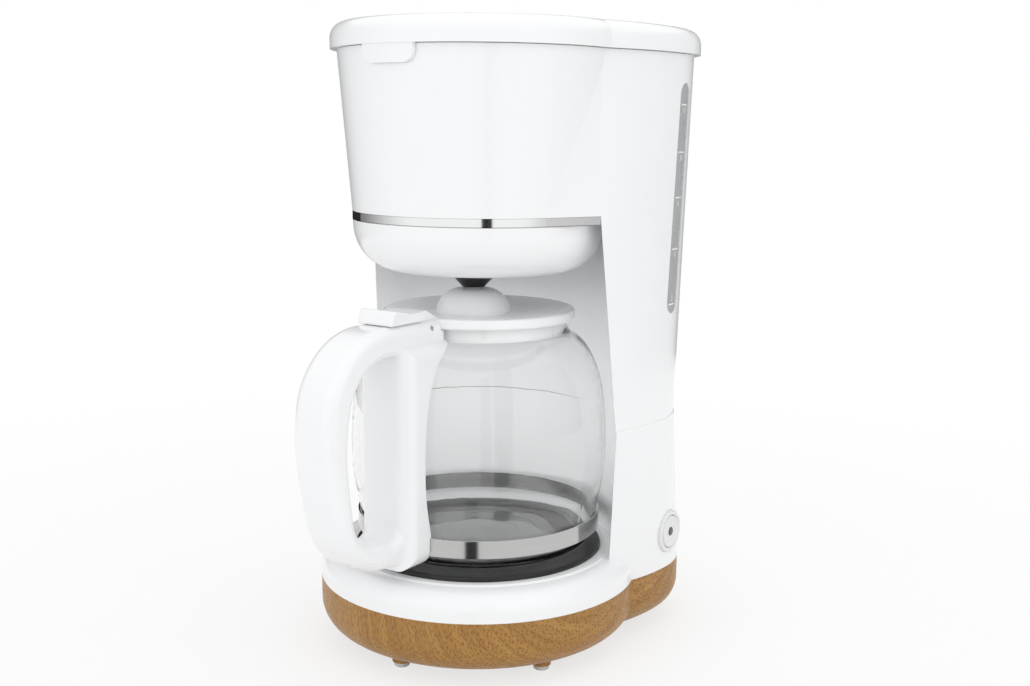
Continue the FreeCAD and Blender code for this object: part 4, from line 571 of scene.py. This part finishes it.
# %% Window surface
WAIST_Z = 0.1325
TANK_HEIGHT = 0.2132
WIDEST_X, WIDEST_X_GAIN = 0.0939, 0.0017
WIDEST_Y, WIDEST_Y_GAIN = 0.061711, 0.010
REAR_RADIUS, REAR_RADIUS_GAIN = 0.0546, 0.002
FRONT_RADIUS = 0.1496
WINDOW_MIDDLE_Y = 0.072711
WINDOW_MIDDLE_Z = 0.2625
WINDOW_LEAN = math.radians(3.8)
INK = 0.00006


def window_x(y, z):
    """Outside of the window: two circles in plan that meet at the widest place, changing with height."""
    share = (z - WAIST_Z) / TANK_HEIGHT
    widest_x = WIDEST_X + WIDEST_X_GAIN * share
    widest_y = WIDEST_Y + WIDEST_Y_GAIN * share
    radius = np.where(y > widest_y, REAR_RADIUS + REAR_RADIUS_GAIN * share, FRONT_RADIUS)
    return widest_x - radius + np.sqrt(radius ** 2 - (y - widest_y) ** 2)


def window_middle(z):
    """Middle of the leaning window at a height."""
    return WINDOW_MIDDLE_Y + math.tan(WINDOW_LEAN) * (z - WINDOW_MIDDLE_Z)


def ink_patch(y, z):
    """Grid of ink on the window: the window's X at each point, plus the ink's thickness."""
    return np.stack([window_x(y, z) + INK, y, z], axis=-1).reshape(-1, 3)


middle_x = float(window_x(WINDOW_MIDDLE_Y, WINDOW_MIDDLE_Z))
print("window's middle is", round(middle_x / MM, 1), "mm to the right")

# %% [markdown]
# ## Lines on the window
# Five printed lines show the water's level. Print could be a texture, but lines this fine stay sharper as
# thin ink with its own shape. Each line is a small grid of points on the window's formula.

# %% Window lines
# Height of each line, its number of cups, and whether the number stands below it (-1) or above (1).
LEVELS = ((0.3170, "10", -1), (0.2898, "8", -1), (0.2636, "6", -1), (0.2336, "4", -1), (0.2010, "2", 1))
LINE_HALF = 0.0040
LINE_THICK_HALF = 0.0004
LINE_STEPS = 15


def new_object(name, points, faces, material):
    """A mesh object with one material, linked to the scene."""
    mesh = bpy.data.meshes.new(name)
    mesh.from_pydata(points.tolist(), [], faces.tolist())
    mesh.materials.append(material)
    mesh.update()
    piece = bpy.data.objects.new(name, mesh)
    bpy.context.scene.collection.objects.link(piece)
    return piece


def add_piece(name, points, faces, material, body):
    """A mesh piece in the frame that rides on a body."""
    piece = new_object(name, points, faces, material)
    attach(piece, body)
    print(name, len(faces), "faces")


def grid_faces(rows, columns):
    """Four corners for each cell of a grid of points, counted row by row."""
    first = np.arange((rows - 1) * columns).reshape(rows - 1, columns)[:, :-1].ravel()
    return np.stack([first, first + 1, first + columns + 1, first + columns], axis=1)


def printed_line(level):
    """Ink of one line: Y runs across the window about its middle, Z over the line's thickness."""
    across = window_middle(level) + np.linspace(-LINE_HALF, LINE_HALF, LINE_STEPS)
    y, z = np.meshgrid(across, level + np.array([-LINE_THICK_HALF, LINE_THICK_HALF]))
    return ink_patch(y, z)


def white_ink(sheet):
    place = place_on(sheet)
    worn = grain(place, 1500, 3.0)
    return {"Base Color": blended(worn, paint(236, 236, 234), paint(248, 248, 246)),
            "Roughness": 0.4 + 0.15 * worn}


ink = finish("white_print_ink", {"IOR": 1.5}, white_ink)
line_points = [printed_line(level) for level, number, side in LEVELS]
line_faces = [grid_faces(2, LINE_STEPS) + 2 * LINE_STEPS * count for count in range(len(LEVELS))]
add_piece("window_ticks", np.concatenate(line_points), np.concatenate(line_faces), ink,
          "machine")

# %% [markdown]
# ## Numbers on the window
# Under or over each line stands a plain number of cups. A text object would stay flat, while the window
# is curved. So each number is turned into triangles, and its flat coordinates become Y and Z on the
# formula.

# %% Window numbers
NUMBER_SIZE = 0.0046
NUMBER_DROP = 0.0034


def flat_number(text):
    """A number as flat triangles about its middle: corners with two coordinates, and faces."""
    curve = bpy.data.curves.new("number", "FONT")
    curve.body = text
    curve.size = NUMBER_SIZE
    curve.align_x = "CENTER"
    curve.align_y = "CENTER"
    holder = bpy.data.objects.new("number", curve)
    bpy.context.scene.collection.objects.link(holder)
    flat = bpy.data.meshes.new_from_object(holder.evaluated_get(bpy.context.evaluated_depsgraph_get()))
    flat.calc_loop_triangles()
    corners = np.empty(3 * len(flat.vertices))
    flat.vertices.foreach_get("co", corners)
    faces = np.empty(3 * len(flat.loop_triangles), dtype=np.int32)
    flat.loop_triangles.foreach_get("vertices", faces)
    bpy.data.objects.remove(holder)
    return corners.reshape(-1, 3)[:, :2], faces.reshape(-1, 3)


number_points, number_faces, counted = [], [], 0
for level, number, side in LEVELS:
    corners, faces = flat_number(number)
    z = level + side * NUMBER_DROP + corners[:, 1]
    number_points.append(ink_patch(window_middle(z) + corners[:, 0], z))
    number_faces.append(faces + counted)
    counted += len(corners)
add_piece("window_numbers", np.concatenate(number_points), np.concatenate(number_faces), ink,
          "machine")

# %% [markdown]
# ## The seam behind the carafe
# The body is moulded as two shells that meet at the waist, and the joint shows as a thin dark line, also
# through the glass at the back of the niche. The shells' faces touch, so no light is lost there. A strip
# of painted shadow does it: part of a tube just inside the niche, a third of a millimetre high, drawn as
# a grid of angle and height. To the right the joint is lit from the front, so the painted shadow fades
# there.

# %% Waist seam
NICHE_RADIUS = 0.082
SEAM_HEIGHT = 0.00036
SEAM_TURNS = (156, 50)
SEAM_STEPS = 97
SEAM_FADE_X = (-0.01, 0.05)


def seam_shadow(sheet):
    place = place_on(sheet)
    shadow_wander = grain(place, 240, 3.0)
    # Painted shadow of the joint, unevenly grey, fading into the plastic's white where the joint is lit.
    shadow = blended(shadow_wander, paint(96, 97, 98), paint(134, 135, 136))
    lit = rise(axes_of(place)[0], *SEAM_FADE_X)
    return {"Base Color": blended(lit, shadow, paint(240, 241, 242)),
            "Roughness": 0.6 + 0.2 * shadow_wander}


def niche_strip(radius):
    """Part of a tube round the carafe's axis: one parameter is the angle, one the height."""
    turn, z = np.meshgrid(np.radians(np.linspace(*SEAM_TURNS, SEAM_STEPS)),
                          WAIST_Z + SEAM_HEIGHT * np.array([-0.5, 0.5]))
    return np.stack([radius * np.cos(turn), CARAFE_AXIS_Y + radius * np.sin(turn), z], axis=-1)


add_piece("waist_seam_shadow", niche_strip(NICHE_RADIUS - INK).reshape(-1, 3), grid_faces(2, SEAM_STEPS),
          finish("seam_shadow", {"IOR": 1.45}, seam_shadow), "machine")

# %% [markdown]
# ## Studio light
# Product pictures are lit by large soft lamps in a white room, so that white plastic keeps its edges and
# nothing burns out. A picture of a studio could light the scene, but a plain white world and four lamps
# can be read and changed. The world is white where the camera, a reflection or the glass looks at it,
# and a little less elsewhere. One small lamp hangs unseen inside the carafe and lights the niche.

# %% Light
SKY_LEVEL = 0.92


def looked_at(sheet):
    """1 where the camera, a reflection or the glass looks, and 0 for light that only bounces."""
    path = sheet.node("ShaderNodeLightPath", out="Is Camera Ray")
    mirrored = path.math("MAXIMUM", path, path.other("Is Glossy Ray"))
    return path.math("MAXIMUM", mirrored, path.other("Is Transmission Ray"))


def add_lamp(name, watts, width, spot, aim):
    """A square soft lamp at a spot, facing a point. It gives light and is never seen itself."""
    lamp = bpy.data.lights.new(name, "AREA")
    lamp.shape = "SQUARE"
    lamp.size = width
    lamp.energy = watts
    holder = bpy.data.objects.new(name, lamp)
    away = np.array(spot) - np.array(aim)
    away = away / np.linalg.norm(away)
    side = np.cross((0, 0, 1), away)
    side = side / np.linalg.norm(side)
    holder.matrix_world = standing(side, np.cross(away, side), away, spot)
    holder.visible_camera = False
    holder.visible_glossy = False
    holder.visible_transmission = False
    bpy.context.scene.collection.objects.link(holder)
    print(name, watts, "W")


world = bpy.data.worlds.new("white_studio")
world.use_nodes = True
bpy.context.scene.world = world
background = world.node_tree.nodes["Background"]
background.inputs["Color"].default_value = (1, 1, 1, 1)
sky = SKY_LEVEL + (1 - SKY_LEVEL) * looked_at(Wire(world.node_tree))
world.node_tree.links.new(sky.socket, background.inputs["Strength"])

add_lamp("key_lamp", 4, 1.6, (-0.3, -1.9, 0.6), (0, 0, 0.15))
add_lamp("side_lamp", 5, 1.4, (2.1, -0.6, 1.2), (0, 0, 0.18))
add_lamp("top_lamp", 5.5, 1.6, (0.1, 0.3, 2.3), (0, 0, 0.2))
add_lamp("niche_lamp", 0.04, 0.1, (0.0, -0.02, 0.118), (0.0, 0.08, 0.14))
bpy.context.scene.view_settings.view_transform = "Standard"

# %% [markdown]
# ## The floor
# The object stands on a pale floor with no horizon. A large plane would end in an edge, and a bent
# backdrop would need its own light. Here a wide disc turns into the background's white with distance,
# and keeps the object's soft shadow close by.

# %% Floor
FLOOR_RADIUS = 6.0
FLOOR_RINGS = 13
FLOOR_SPOKES = 65
FLOOR_WHITE = 0.72
FLOOR_FADE = (0.2, 0.8)


def add_stage_piece(name, points, faces, material):
    """A mesh that belongs to the studio and not to the object."""
    piece = new_object(name, points, faces, material)
    print(name, len(faces), "faces")
    return piece


def stage_material(name, surface):
    """A material whose whole surface is one shader, built by a function."""
    material = bpy.data.materials.new(name)
    material.use_nodes = True
    tree = material.node_tree
    tree.nodes.remove(tree.nodes["Principled BSDF"])
    tree.links.new(surface(Wire(tree)).socket, tree.nodes["Material Output"].inputs["Surface"])
    return material


def glow(sheet, colour):
    """A surface that shows one colour, whatever light falls on it."""
    return sheet.node("ShaderNodeEmission", (), {"Color": colour, "Strength": 1.0})


def pale_floor(sheet):
    x, y, z = axes_of(place_on(sheet))
    far = rise((x ** 2 + y ** 2) ** 0.5, *FLOOR_FADE)
    matt = sheet.node("ShaderNodeBsdfDiffuse", (), {"Color": (0.86, 0.86, 0.86, 1)})
    share = looked_at(sheet) * (FLOOR_WHITE + (1 - FLOOR_WHITE) * far)
    return sheet.node("ShaderNodeMixShader", (), {0: share, 1: matt, 2: glow(sheet, (1, 1, 1, 1))})


def disc_of_rings(radius, rings, spokes):
    """A disc: the radius grows along one parameter, the angle along the other."""
    reach, turn = np.meshgrid(np.linspace(0, radius, rings), np.linspace(0, 2 * np.pi, spokes),
                              indexing="ij")
    return np.stack([reach * np.cos(turn), reach * np.sin(turn), 0 * reach], axis=-1).reshape(-1, 3)


add_stage_piece("studio_floor", disc_of_rings(FLOOR_RADIUS, FLOOR_RINGS, FLOOR_SPOKES),
                grid_faces(FLOOR_RINGS, FLOOR_SPOKES)[:, ::-1], stage_material("pale_floor", pale_floor))

# %% [markdown]
# ## Cards for the mirrors
# Bright metal in a white room would be white, and a photographer hangs cards for it to mirror. Three dark
# ones give the black squares on the strip and on the carafe's band and a dark back. Two at the sides run
# from grey to white, so the strip darkens towards its ends. Only reflections meet the cards, so they take
# no light away.

# %% Cards
LEFT_FADE = np.radians((-100, -17)).tolist()
RIGHT_FADE = np.radians((70, 125)).tolist()
CARD_STEPS = 25
CARD_ROWS = 3


def dark_card(sheet):
    return glow(sheet, (0.025, 0.025, 0.027, 1))


def side_card(sheet):
    x, y, z = axes_of(place_on(sheet))
    turn = x.math("ARCTAN2", x, 0 - y)
    bright = rise(turn, *LEFT_FADE) * (1 - rise(turn, *RIGHT_FADE))
    return glow(sheet, blended(bright, (0.2, 0.2, 0.205, 1), (1, 1, 1, 1)))


def add_card(name, material, radius, turns, heights):
    """Part of a tube round the object: one parameter is the angle from the front, one the height."""
    turn, z = np.meshgrid(np.radians(np.linspace(*turns, CARD_STEPS)), np.linspace(*heights, CARD_ROWS))
    points = np.stack([radius * np.sin(turn), -radius * np.cos(turn), z], axis=-1)
    card = add_stage_piece(name, points.reshape(-1, 3), grid_faces(CARD_ROWS, CARD_STEPS), material)
    for ray in ("camera", "diffuse", "transmission", "volume_scatter", "shadow"):
        setattr(card, "visible_" + ray, False)


card_black = stage_material("dark_card", dark_card)
card_fading = stage_material("side_card", side_card)
add_card("head_card", card_black, 0.30, (38, 46), (0.02, 0.35))
add_card("carafe_card", card_black, 0.17, (27, 36.7), (0.006, 0.05))
add_card("rear_card", card_black, 0.90, (166, 266), (0.01, 0.8))
add_card("left_card", card_fading, 0.90, (-94, -15), (0.01, 0.8))
add_card("right_card", card_fading, 0.90, (68, 166), (0.01, 0.8))
